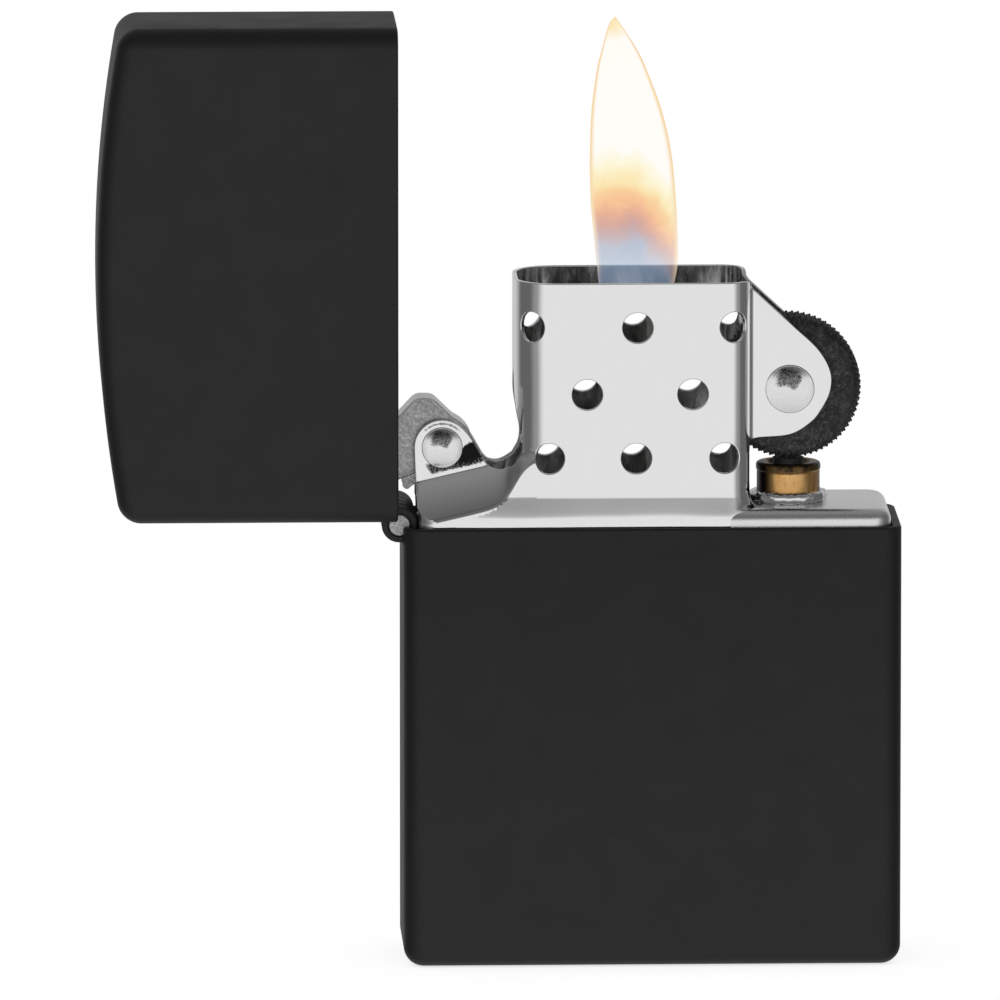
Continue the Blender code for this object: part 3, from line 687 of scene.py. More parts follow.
def knuckle(index):
    """A rolled tube round the pin."""
    pitch = BARREL_LENGTH / KNUCKLES
    start = index * pitch - BARREL_LENGTH / 2
    low, high = start + KNUCKLE_GAP / 2, start + pitch - KNUCKLE_GAP / 2
    bore = PIN_RADIUS + 0.05
    corners = [(bore, low), (KNUCKLE_RADIUS, low), (KNUCKLE_RADIUS, high), (bore, high)]
    return turned(rounded_profile(corners, 0.09), (HINGE_X, 0, HINGE_Z), "Y", 56)


def leaf_plate(direction, length):
    """The leaf's plate inside the narrow wall, drawn in XZ and pushed along Y."""
    near, far = HINGE_X + LEAF_NEAR, HINGE_X + LEAF_FAR
    low, high = sorted((HINGE_Z + direction * 0.5, HINGE_Z + direction * length))
    shape = [(near, low), (far, low), (far, high), (near, high)]
    return prism(shape, -LEAF_HALF_WIDTH, LEAF_HALF_WIDTH, 0.08)


def make_hinge():
    case_leaf = merged(*[knuckle(i) for i in (0, 2, 4)], leaf_plate(-1, 6.6))
    add_piece("case_hinge_leaf", case_leaf, "black_coat", "case", "hinge_leaf_case")
    points, faces = merged(*[knuckle(i) for i in (1, 3)], leaf_plate(1, 3.9))
    add_piece("lid_hinge_leaf", (opened(points), faces), "black_coat", "lid", "hinge_leaf_lid")
    half = PIN.size.y / 2
    corners = [(0, -half), (PIN_RADIUS, -half), (PIN_RADIUS, half), (0, half)]
    pin = turned(rounded_profile(corners, 0.14, 4), (HINGE_X, 0, HINGE_Z), "Y", 48)
    add_piece("pin", pin, "cam_steel", "case", "hinge_pin")


# Insert: one drawn tank, and a sheet that wraps the chimney and spreads into the wheel and cam ears. The
# sheet is laid out flat as (u, z), where u is X on the flat front face, and then folded into place.

LEFT_BEND, LEFT_BEND_X = 3.4, -7.1
RIGHT_BEND, RIGHT_BEND_X = 2.0, 5.5
EAR_BEND, EAR_BEND_LEAD = 0.45, 0.15
LEFT_BEND_Y, RIGHT_BEND_Y = LEFT_BEND - CHIMNEY_FACE, RIGHT_BEND - CHIMNEY_FACE
LEFT_SEAM = LEFT_BEND_X - LEFT_BEND * math.pi / 2 + LEFT_BEND_Y
RIGHT_BEND_END = RIGHT_BEND_X + RIGHT_BEND * math.pi / 2
RIGHT_SEAM = RIGHT_BEND_END - RIGHT_BEND_Y
EAR_START = RIGHT_BEND_END + EAR_BEND_LEAD + EAR_BEND * math.pi / 2
EAR_START_X = RIGHT_BEND_X + RIGHT_BEND + EAR_BEND
FLARE_TOP, FLARE_BOTTOM, FLARE_SLOPE = 36.4, 34.3, 0.25
FILLET = 0.5
CAM_EAR_LEFT, NOTCH_LEVEL = -17.8, 42.2
CAM_TURN = -11.9  # on the flat sheet, where the cam ear leaves the chimney's bend
CAM_TURN_X = LEFT_BEND_X - LEFT_BEND * math.sin((LEFT_BEND_X - CAM_TURN) / LEFT_BEND)
SHEET_BOTTOM = 33.0
NECK_LEVEL = 39.2  # above this the right wall turns into the wheel ear, below it runs on round the chimney
GRID_STEP, FINE_STEP, EDGE_STEP = 0.3, 0.14, 0.2


def soft_ramp(t, first, last=None):
    """0 below 0 and 1 above 1, straight between, with its two ends rounded."""
    def soft_plus(v, rounding):
        return np.where(v < -rounding, 0, np.where(v > rounding, v, (v + rounding) ** 2 / (4 * rounding)))
    return soft_plus(t, first) - soft_plus(t - 1, last or first)


def smooth_max(a, b, blend):
    share = np.clip(0.5 + 0.5 * (a - b) / blend, 0, 1)
    return b + (a - b) * share + blend * share * (1 - share)


def soft_switch(x, middle, width):
    return 1 / (1 + np.exp(-(x - middle) / width))


def flare(z):
    """How far the sheet's foot spreads over the shoulder: quickly at first, and upright at the bottom."""
    height = FLARE_TOP - FLARE_BOTTOM
    t = soft_ramp((FLARE_TOP - z) / height, 0.07)
    return FLARE_SLOPE * height * (t - t**6.6 / 6.6)


def cam_foot(x):
    """Height of the line where the skirt below a cam ear meets the tank's edge."""
    return 34.3 + 0.22 * (x - CAM_EAR_LEFT) + 3.0 * soft_switch(x, -10.5, 0.5)


def cam_crease(x):
    """Height of the line where a cam ear turns out into its skirt."""
    return 37.1 + 0.232 * (x - CAM_EAR_LEFT) + 3.2 * soft_switch(x, -10.1, 0.45)


def cam_side_depth(x, z):
    """Half depth of the sheet round the cam ears: the ear's above its crease, the tank's below its foot."""
    foot, crease = cam_foot(x), cam_crease(x)
    corner = np.maximum(TANK_LEFT + TANK_CORNER - x, 0)
    corner_depth = TANK_HALF_DEPTH + 0.03 - TANK_CORNER
    corner_depth = corner_depth + np.sqrt(np.maximum(TANK_CORNER**2 - corner**2, 0.01))
    start = flare(foot)
    # a narrow upright strip along the foot
    upright = 0.08 * (1 - soft_switch(x, -11.3, 0.4)) * smooth_step(z, 33.5, 34.0)
    full = CHIMNEY_FACE + start + np.maximum(flare(z) - start - upright, 0)
    full = np.minimum(full, corner_depth + 3 * smooth_step(z, 34.4, 36.4))
    return CAM_EAR_FACE + (full - CAM_EAR_FACE) * soft_ramp((crease - z) / (crease - foot), 0.03, 0.1)


def cam_u(x):
    """Where a point of the cam ears or their skirt lies on the flat sheet."""
    return CAM_TURN + x - CAM_TURN_X


def painted_ear_shade(x, z):
    """How much painted shade the face of a cam ear gets: under and beside its rivet, and in an arc along its
    top.
    """
    above = z - cam_crease(x) - 0.025 * (np.sin(17 * x) + np.sin(41 * x + 1) + np.sin(29 * x + 2))
    reach = 1.5 + 0.85 * smooth_step(x, -15.3, -13.9)
    left = -17.75 + 0.63 * (38.75 - z)
    low = smooth_step(above, 0.2, 0.42) * (1 - smooth_step(above, reach - 0.45, reach + 0.05))
    low *= smooth_step(x - left, -0.1, 0.4) * (1 - smooth_step(x, -12.9, -12.65))
    depth = 0.62 + 0.22 * smooth_step(above, 0.5, 1.3) * smooth_step(x, -15.2, -14.5)
    ring = np.hypot(x - CAM_X, z - CAM_Z)
    top = smooth_step(ring, 1.62, 1.8) * (1 - smooth_step(ring, 1.88, 2.02))
    top *= smooth_step(z, CAM_Z + 0.8, CAM_Z + 1.5)
    return np.maximum(low * depth, 0.55 * top)


def folded(u, z):
    """The outer face of the front half of the sheet."""
    out = flare(z)
    x, y = u + 0.0 * z, -CHIMNEY_FACE - out
    # left bend, then either the seam above the notch or the cam ear below it
    turn = np.clip((LEFT_BEND_X - u) / LEFT_BEND, 0, math.pi / 2)
    run = np.maximum(LEFT_BEND_X - u - LEFT_BEND * math.pi / 2, 0)
    is_ear = (u < CAM_TURN) & (z < NOTCH_LEVEL)
    left_x = np.where(is_ear, CAM_TURN_X + u - CAM_TURN, LEFT_BEND_X - LEFT_BEND * np.sin(turn))
    bend = LEFT_BEND * np.cos(turn) - LEFT_BEND_Y + out - run
    below = np.where(is_ear, bend - 6 * (CAM_TURN - u), bend)
    below = smooth_max(below, cam_side_depth(left_x, z), 0.5 - 0.4 * smooth_step(left_x, -10.0, -8.6))
    left = u < LEFT_BEND_X
    joined = 1 - smooth_step(z, 41.0, 42.0) * ~is_ear
    x = np.where(left, left_x, x)
    y = np.where(left, -(bend + (below - bend) * joined), y)
    # right bend, then either the ear or the rest of the wall
    turn = np.clip((u - RIGHT_BEND_X) / RIGHT_BEND, 0, math.pi / 2)
    drop = np.clip(SHOULDER + FILLET - z, 0, FILLET)
    out = out + (FILLET - np.sqrt(FILLET**2 - drop**2)) * smooth_step(u, 6.2, 7.8)
    right = u > RIGHT_BEND_X
    radius = RIGHT_BEND + out
    x = np.where(right, RIGHT_BEND_X + radius * np.sin(turn), x)
    y = np.where(right, RIGHT_BEND_Y - radius * np.cos(turn), y)
    run = np.maximum(u - RIGHT_BEND_END, 0)
    ear_turn = np.clip((run - EAR_BEND_LEAD) / EAR_BEND, 0, math.pi / 2)
    ear_x = EAR_BEND * (1 - np.cos(ear_turn)) + np.maximum(u - EAR_START, 0)
    ear_y = np.minimum(run, EAR_BEND_LEAD) + EAR_BEND * np.sin(ear_turn)
    over_neck = z > NECK_LEVEL
    x = x + np.where(right & over_neck, ear_x, 0)
    y = y + np.where(right, np.where(over_neck, ear_y, run), 0)
    return np.stack([x, y, z + 0.0 * u], axis=-1)


def fold_frame(u, z):
    """Folded points with their outward normals and the two surface directions."""
    e = 0.004
    du = (folded(u + e, z) - folded(u - e, z)) / (2 * e)
    dz = (folded(u, z + e) - folded(u, z - e)) / (2 * e)
    return folded(u, z), unit(np.cross(du, dz)), du, dz


def ear_u(x):
    return EAR_START + x - EAR_START_X


def hole_u(x):
    """Where a hole that is seen at x from the front lies on the flat sheet."""
    if x < LEFT_BEND_X:
        return LEFT_BEND_X - LEFT_BEND * math.asin((LEFT_BEND_X - x) / LEFT_BEND)
    if x > RIGHT_BEND_X:
        return RIGHT_BEND_X + RIGHT_BEND * math.asin((x - RIGHT_BEND_X) / RIGHT_BEND)
    return x


def sheet_chains():
    """The flat sheet's outline, anticlockwise, as chains of (points, is_seam)."""
    step = EDGE_STEP
    bottom = line((cam_u(CAM_EAR_LEFT), SHEET_BOTTOM), (RIGHT_SEAM, SHEET_BOTTOM), step)
    right_seam = line((RIGHT_SEAM, SHEET_BOTTOM), (RIGHT_SEAM, 37.9), step)
    window = [(RIGHT_SEAM, 37.9), (9.6, 37.9), (8.95, 38.25), (8.8, 39.1), (8.9, 40.1), (9.35, 40.5)]
    window = spline(window, step)
    ear = [(8.2, 40.52), (10.6, 40.75), (12.15, 41.66), (12.95, 42.65), (13.6, 44.0), (13.62, 45.5)]
    ear += [(12.69, 47.2), (10.8, 49.0), (8.83, 50.82)]
    nose = spline([(ear_u(x), z) for x, z in ear], step)
    rim = CHIMNEY_TOP - CUT_EDGE
    rim_corner = spline([nose[-1], (9.6, 51.55), (8.95, 52.15), (8.2, 52.55), (7.3, rim)], step)
    top = line((7.3, rim), (LEFT_SEAM, rim), step)
    left_seam = line((LEFT_SEAM, rim), (LEFT_SEAM, 45.7), step)
    ear_radius = CAM_EAR_RADIUS - CUT_EDGE
    cam_ear = arc(cam_u(CAM_X), CAM_Z, ear_radius, 66, 180, 26)
    below = [(-10.69, 38.46), (-11.7, 38.1), (-12.66, 38.45), (-13.3, 39.45), (-14.0, 40.6), (-14.7, 41.35)]
    notch = spline([
        (LEFT_SEAM, 45.7), (-13.5, 45.6), (-12.5, 44.5), (-11.3, 42.6), (-10.8, 41.5), (-10.45, 40.6),
        (-10.42, 39.95), (-10.85, 39.15), *((cam_u(x), z) for x, z in below), cam_ear[0],
    ], step)
    left_edge = line((cam_u(CAM_X) - ear_radius, CAM_Z - 0.2), (cam_u(CAM_EAR_LEFT), SHEET_BOTTOM), step)
    right = window[:-1] + nose[:-1] + rim_corner[:-1] + top
    left = notch[:-1] + cam_ear + left_edge
    return [(bottom, False), (right_seam, True), (right, False), (left_seam, True), (left, False)]


def inside(points, loop):
    """Which points lie inside a closed loop."""
    a, b = loop, np.roll(loop, -1, 0)
    x, z = points[:, :1], points[:, 1:]
    crosses = (a[:, 1] > z) != (b[:, 1] > z)
    with np.errstate(divide="ignore", invalid="ignore"):
        at = a[:, 0] + (z - a[:, 1]) * (b[:, 0] - a[:, 0]) / (b[:, 1] - a[:, 1])
    return (crosses & (x < at)).sum(1) % 2 == 1


def gap_to(points, loop):
    """Least distance from each point to the loop's points."""
    best = np.full(len(points), 1e9)
    for q in loop:
        best = np.minimum(best, ((points - q) ** 2).sum(1))
    return np.sqrt(best)


def grid_points(low, high, step):
    rows = []
    for k, z in enumerate(np.arange(low[1], high[1], step * 0.87)):
        u = np.arange(low[0] + (k % 2) * step / 2, high[0], step)
        rows.append(np.column_stack([u, np.full(len(u), z)]))
    return np.concatenate(rows)


def outward_of(loop, is_free):
    """Directions out of the material at each point of an anticlockwise loop, from its free edges only."""
    count = len(loop)
    out = np.zeros_like(loop)
    for i in range(count):
        total = np.zeros(2)
        for a, b in ((i - 1, i), (i, (i + 1) % count)):
            if is_free[a % count]:
                d = loop[b] - loop[a]
                total += np.array([d[1], -d[0]]) / np.linalg.norm(d)
        out[i] = total / max(np.linalg.norm(total), 1e-9)
    return out


def triangulated(outer, holes, grid):
    """Points and triangles that fill a loop outside its holes. The loops' points come before the grid's."""
    keep = inside(grid, outer) & (gap_to(grid, outer) > 0.09)
    for hole in holes:
        keep &= ~inside(grid, hole) & (gap_to(grid, hole) > 0.09)
    flat, edges = [], []
    for loop in [outer, *holes]:
        first = len(flat)
        flat += [tuple(p) for p in loop]
        edges += [(first + i, first + (i + 1) % len(loop)) for i in range(len(loop))]
    flat += [tuple(p) for p in grid[keep]]
    result = delaunay_2d_cdt([Vector(p) for p in flat], edges, [], 0, 1e-7)
    triangles = np.array([[result[3][i][0] for i in f] for f in result[2]])
    flat = np.array(flat)
    centres = flat[triangles].mean(1)
    keep = inside(centres, outer)
    for hole in holes:
        keep &= ~inside(centres, hole)
    triangles = triangles[keep]
    a, b, c = (flat[triangles[:, k]] for k in range(3))
    ab, ac = b - a, c - a
    clockwise = ab[:, 0] * ac[:, 1] - ab[:, 1] * ac[:, 0] < 0
    triangles[clockwise] = triangles[clockwise][:, ::-1]
    return flat, triangles


def half_sheet():
    """Points, faces and normals of the sheet's front half, with rounded cut edges."""
    chains = sheet_chains()
    outer = np.array([p for points, _ in chains for p in points])
    free = [not seam for points, seam in chains for _ in points]
    radius = HOLE_RADIUS + CUT_EDGE
    holes = []
    for height, places in HOLE_ROWS:
        for x in places:
            holes.append(np.array(arc(hole_u(x), height, radius, 360, 0, 44)[:-1]))
    loops = [(outer, free)] + [(hole, [True] * len(hole)) for hole in holes]
    low, high = outer.min(0), outer.max(0)
    cam_corner = (-9.0, NOTCH_LEVEL)  # left of and below this the grid is finer
    grid = grid_points(low, high, GRID_STEP)
    grid = grid[(grid[:, 0] > cam_corner[0]) | (grid[:, 1] > cam_corner[1])]
    grid = np.concatenate([grid, grid_points(low, cam_corner, FINE_STEP)])
    x = np.arange(CAM_EAR_LEFT, -12.6, 0.09)
    offsets = np.arange(-0.18, 0.19, 0.06)
    crease = np.concatenate([np.column_stack([cam_u(x), cam_crease(x) + d]) for d in offsets])
    grid = np.concatenate([grid[gap_to(grid, crease) > 0.1], crease])
    flat, triangles = triangulated(outer, holes, grid)
    place, normal, du, dz = fold_frame(flat[:, 0], flat[:, 1])
    count = len(flat)
    middle = flat[triangles].mean(1)
    sooted = (middle[:, 0] < ear_u(8.4)) & ((middle[:, 0] > CAM_TURN) | (middle[:, 1] > NOTCH_LEVEL))
    points = [place, place - normal * SHEET]
    normals = [normal, -normal]
    faces = [tuple(t) for t in triangles] + [tuple(t[::-1] + count) for t in triangles]
    total, first = 2 * count, 0
    slant = math.sqrt(0.5)
    lip = [(slant, CUT_EDGE * (1 - slant), slant), (1.0, CUT_EDGE, 0.0)]
    lip += [(reach, SHEET - depth, -lean) for reach, depth, lean in reversed(lip)]
    for loop, is_free in loops:
        n = len(loop)
        span = slice(first, first + n)
        out = outward_of(loop, is_free)
        side = unit(du[span] * out[:, :1] + dz[span] * out[:, 1:])
        rings = [np.arange(first, first + n)]
        for reach, depth, lean in lip:
            points.append(place[span] + side * CUT_EDGE * reach - normal[span] * depth)
            mixed = side * math.sqrt(1 - lean**2) + normal[span] * lean
            normals.append(mixed)
            rings.append(np.arange(total, total + n))
            total += n
        rings.append(np.arange(first, first + n) + count)
        for upper, lower in zip(rings, rings[1:]):
            for i in range(n):
                j = (i + 1) % n
                if is_free[i]:
                    faces.append((upper[j], upper[i], lower[i], lower[j]))
        first += n
    slots = np.zeros(len(faces), int)
    slots[len(triangles):2 * len(triangles)] = sooted
    return np.concatenate(points), faces, np.concatenate(normals), slots


def painted_shade(obj, amounts):
    """Store how much painted shade each point of a mesh gets, for its material to read."""
    layer = obj.data.attributes.new("painted_shade", "FLOAT", "POINT")
    layer.data.foreach_set("value", np.asarray(amounts, np.float32))


def make_sheet():
    """Both halves of the sheet, joined along the two seams on Y = 0."""
    points, faces, normals, slots = half_sheet()
    count = len(points)
    used = np.zeros(count, bool)
    used[np.unique(np.concatenate([np.array(f) for f in faces]))] = True
    on_seam = np.abs(points[:, 1]) < 1e-3
    twin = np.where(on_seam, np.arange(count), np.arange(count) + count)
    mirrored = points * [1, -1, 1]
    all_points = np.concatenate([points, mirrored])
    all_normals = np.concatenate([normals, normals * [1, -1, 1]])
    all_faces = list(faces) + [tuple(twin[i] for i in reversed(f)) for f in faces]
    keep = np.concatenate([used, used & ~on_seam])
    renumber = np.cumsum(keep) - 1
    all_faces = [tuple(int(renumber[i]) for i in f) for f in all_faces]
    sheet = add_object(
        "chimney_sheet", all_points[keep], all_faces, MATERIALS["polished_steel"], "insert",
        normals=all_normals[keep],
    )
    sheet.data.materials.append(MATERIALS["sooted_steel"])
    sheet.data.polygons.foreach_set("material_index", np.concatenate([slots, slots]))
    x, y, z = all_points[keep].T
    outside = np.abs(y) > CAM_EAR_FACE - 0.5 * SHEET
    # painted shade on the cam ears' outer faces, for their material to read
    painted_shade(sheet, np.where((x < -12.6) & outside, painted_ear_shade(x, z), 0))


def shoulder(x):
    """Height of the tank's top, which is lower under the cam ears' skirts."""
    return SHOULDER - 1.15 * (1 - float(smooth_step(np.float64(x), -12.0, -9.0)))


def make_tank():
    cup = drawn_cup(
        TANK_LEFT, TANK_RIGHT, TANK_HALF_DEPTH, TANK_CORNER, SHOULDER_RADIUS, TANK_BOTTOM, shoulder, SHEET
    )
    tank = add_piece("fuel_tank", cup, "satin_steel", "insert", "insert_shell")
    low, high = SHOULDER - 3, SHOULDER + 1
    for radius, x in ((WICK.size.x / 2 + 0.1, WICK.mid.x), (TUBE_RADIUS + 0.3, WHEEL_X)):
        cut(tank, *turned([(0, low), (radius, low), (radius, high), (0, high)], (x, 0, 0)))
    cut(tank, *block((-16.9, -1.6, SHOULDER - 2.6), (-13.0, 1.6, SHOULDER + 0.6)))  # for the cam's spring


def make_collar():
    """The crimped ring of shoulder metal round the brass tube."""
    rings, steps = 12, 120
    points = []
    for a in full_turn(rings):
        for b in full_turn(steps):
            rough = noise.noise(Vector((9 * math.cos(b), 9 * math.sin(b), 2.5 * math.sin(a))))
            thick = 0.24 * (1 + 0.35 * rough)
            radius = TUBE_HEAD_RADIUS + 0.26 + thick * math.cos(a)
            height = SHOULDER + 0.38 + thick * math.sin(a) * 1.7
            points.append((WHEEL_X + radius * math.cos(b), radius * math.sin(b), height))
    faces = tube_faces(rings, steps, closed_tube=True)
    solid = points, faces
    add_piece("tube_collar", solid, "stamped_steel", "insert", sharp_deg=None)


# Small parts on the insert

def dome(radius, height, steps=9):
    """Half-profile of a low domed head, from its centre out to its foot."""
    foot = 0.42 * height
    sphere = (radius**2 + (height - foot) ** 2) / (2 * (height - foot))
    widest = math.asin(radius / sphere)
    out = []
    for k in range(steps + 1):
        a = widest * k / steps
        out.append((sphere * math.sin(a), height - sphere * (1 - math.cos(a))))
    return out + [(radius, 0.06), (radius + 0.07, 0.02), (radius + 0.04, 0)]


def make_rivet(name, node, head, shank):
    """A rivet across both ears, domed at each end, with a painted shadow round its foot and painted dark
    reflection over its upper half.
    """
    span, rise = Span(node), 0.6
    grip = span.size.y / 2 - rise
    profile = [(r, -grip - h) for r, h in dome(head, rise)] + [(shank, -grip)]
    profile += [(r, -h) for r, h in reversed(profile)]
    solid = turned(profile, (span.mid.x, 0, span.mid.z), "Y", 72)
    rivet = add_piece(name, solid, "stamped_steel", "insert", node)
    # painted shadow in the ring round the head's foot; painted dark reflection in a patch over its upper
    # half
    amounts = []
    for v in rivet.data.vertices:
        x, z = v.co.x / MM - span.mid.x, v.co.z / MM - span.mid.z
        patch = 1.3 - math.hypot((x + 0.04 * head) / (0.72 * head), (z - 0.52 * head) / (0.48 * head))
        patch += 0.45 * noise.noise(Vector((x, z, 0)) * 2.3 / head)
        amounts.append(0.8 if math.hypot(x, z) > head + 0.01 else min(0.58, max(0.0, patch)))
    painted_shade(rivet, amounts)
    rivet.visible_glossy = False


def make_cam():
    """The lever: a hub round its rivet, an arm that reaches into the lid and a foot on the spring."""
    reach = 2.35
    back = [
        (0.62, 2.42, 0.15), (-0.68, 3.7, 0.42), (-1.98, 3.72, 0.45), (-3.5, 2.1, 0.5),
        (-4.1, 1.85, 0.2), (-5.45, 1.6, 0.6), (-5.45, 0.35, 0.45), (-3.62, -1.75, 0.12),
        (-3.62, -2.72, 0.1), (-2.07, -2.12, 0.06),
    ]
    hub = arc(0, 0, CAM.high.x - CAM_X, -115, -50, 12) + arc(0, 0, reach, -40, 66, 24)
    half = CAM.size.y / 2
    solids = []
    tab = [(-1.6, -1.9, 0.1), (-2.9, -1.9, 0.1), (-2.9, -3.1, 0.08), (-2.68, -3.28, 0.08)]
    tab += [(-2.0, -2.75, 0.1)]
    for corners, thick in (([(x, z, 0) for x, z in hub] + back, half), (tab[::-1], half - 0.35)):
        shape = [(CAM_X + x, CAM_Z + z) for x, z in rounded_profile(corners, 0.3, 5)]
        shape = [p for i, p in enumerate(shape) if math.dist(p, shape[i - 1]) > 0.02]
        solids.append(prism(shape, -thick, thick, 0.12))
    add_piece("cam", merged(*solids), "cam_steel", "cam", "cam_lever", sharp_deg=30)


def make_cam_spring():
    """A flat strip up the tank's narrow wall, curled under the cam."""
    span = Span("cam_spring")
    half_thick, bottom = 0.15, span.low.z
    foot = span.low.x + half_thick
    curl = [(foot, 32.4), (-16.5, 33.6), (-15.2, 34.5), (-14.3, 35.5), (-14.25, 36.5), (-14.9, 37.2)]
    curl += [(-15.7, 37.42), (-16.5, 37.35)]
    path = np.array(line((foot, bottom), (foot, 32.4), 0.6) + spline(curl, 0.2))
    along = np.gradient(path, axis=0)
    across = unit(np.column_stack([-along[:, 1], along[:, 0]])) * half_thick
    shape = np.concatenate([path - across, (path + across)[::-1]])
    solid = prism(shape, span.low.y, span.high.y, 0.04)
    strip = add_piece("spring_strip", solid, "spring_steel", "insert", "cam_spring")
    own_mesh(strip)


KNURL_TEETH, KNURL_DEPTH, KNURL_LEAD = 75, 0.3, 0.8


def knurl(angle, y):
    """Depth below the wheel's rim of two crossing sets of grooves, from 0 on a tooth to 1 in a groove."""
    turn = angle * KNURL_TEETH / (2 * math.pi)
    ridge = [abs(2 * ((turn + way * y / KNURL_LEAD) % 1) - 1) for way in (-0.5, 0.5)]
    return 1 - min(1.0, min(ridge) * 1.35) ** 0.7


def make_wheel():
    """The striker: a crossed knurl round the rim, chamfered sides and rough faces."""
    steps = KNURL_TEETH * 8
    half, chamfer, bore = WHEEL.size.y / 2, 0.42, 0.95
    side = [(bore, half), (1.6, half), (2.4, half), (3.2, half), (3.9, half), (4.45, half), (4.82, half)]
    side += [(4.9, half - 0.03), (5.16, half - 0.14)]
    rim = [(WHEEL_RADIUS, y) for y in np.linspace(half - chamfer, chamfer - half, 25)]
    profile = side + rim + [(r, -y) for r, y in reversed(side)]
    points = []
    for radius, y in profile:
        bite = max(0.0, min(1.0, (radius - 4.95) / (WHEEL_RADIUS - 4.95)))
        for a in full_turn(steps):
            r = radius - KNURL_DEPTH * bite * knurl(a, y)
            spot = Vector((r * math.cos(a), r * math.sin(a), y))
            rough = 0.05 * noise.noise(spot * 1.3) + 0.03 * noise.noise(spot * 4.0)
            reach = r + (0.15 * rough if bite > 0 else 0)
            lift = rough * math.copysign(1, y) if bite == 0 and radius > bore else 0
            height = y + lift - math.copysign(0.04, y)
            points.append((WHEEL_X + reach * math.cos(a), height, WHEEL_Z + reach * math.sin(a)))
    solid = points, tube_faces(len(profile), steps, closed_tube=True)
    add_piece("striker_wheel", solid, "wheel_steel", "striker", "flint_wheel", sharp_deg=None)


def make_tube():
    """Brass tube with a turned head: a rounded lip over a shallow neck."""
    top, head = TUBE.high.z, TUBE_HEAD_RADIUS
    bottom = TUBE_HEAD_BOTTOM
    corners = [
        (TUBE_BORE, TUBE.low.z), (TUBE_RADIUS, TUBE.low.z), (TUBE_RADIUS, bottom, 0.04),
        (head - 0.06, bottom, 0.1), (head - 0.06, top - 0.72, 0.05), (head - 0.12, top - 0.66, 0.04),
        (head, top - 0.58, 0.08), (head, top, 0.28), (TUBE_BORE + 0.35, top, 0.1),
        (TUBE_BORE, top - 0.4, 0.15),
    ]
    profile = rounded_profile(corners, 0.06, 4)
    solid = turned(profile, (WHEEL_X, 0, 0), "Z", 96)
    tube = add_piece("brass_tube", solid, "brass", "insert", "flint_tube")
    tube.visible_glossy = False


def make_wick():
    """Braided cotton wick with a frayed, slightly domed end."""
    steps, low, high = 96, WICK.low.z, WICK.high.z
    radius = WICK.size.x / 2 - 0.08
    rows = []
    for z in np.linspace(low, high, 260):
        ring = []
        for a in full_turn(steps):
            weave = abs(math.sin(4 * a + 1.5 * z)) * abs(math.sin(4 * a - 1.5 * z))
            r = radius * (0.93 + 0.1 * weave)
            ring.append((WICK.mid.x + r * math.cos(a), r * math.sin(a), z))
        rows.append(ring)
    for share, lift in ((0.8, 0.02), (0.5, 0.05), (0.2, 0.0)):
        ring = []
        for a in full_turn(steps):
            x, y = share * math.cos(a), share * math.sin(a)
            fray = 0.12 * noise.noise(Vector((5 * x, 5 * y, share)))
            ring.append((WICK.mid.x + radius * x, radius * y, high + lift + fray - 0.06))
        rows.append(ring)
    add_piece("braided_wick", capped_tube(rows), "cotton", "insert", "wick", sharp_deg=None)


def swell(value):
    """Pushes a sine towards 1 or -1, which turns an ellipsoid into a rounded block."""
    return math.copysign(abs(value) ** 0.5, value)


def make_wads():
    """The packing: rounded blocks of cotton with a lumpy skin."""
    rows, steps = 56, 96
    for node in sorted(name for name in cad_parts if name.startswith("packing_ball")):
        span, rings = Span(node), []
        for row in range(rows):
            tilt = math.radians(-88 + 176 * row / (rows - 1))
            out, ring = swell(math.cos(tilt)), []
            for turn in full_turn(steps):
                across, along, up = swell(math.cos(turn)), swell(math.sin(turn)), swell(math.sin(tilt))
                spot = Vector((out * across, out * along, up))
                place = Vector(m + s * h / 2 for m, s, h in zip(span.mid, spot, span.size))
                lump = 0.6 + 0.5 * noise.noise(place * 0.7) + 0.3 * noise.noise(place * 2.5)
                place -= spot.normalized() * (0.3 * min(max(lump, 0), 1.2) + 0.04)
                ring.append(tuple(place))
            rings.append(ring)
        wad = node.replace("ball", "wad")
        add_piece(wad, capped_tube(rings), "cotton", "insert", node, sharp_deg=None)


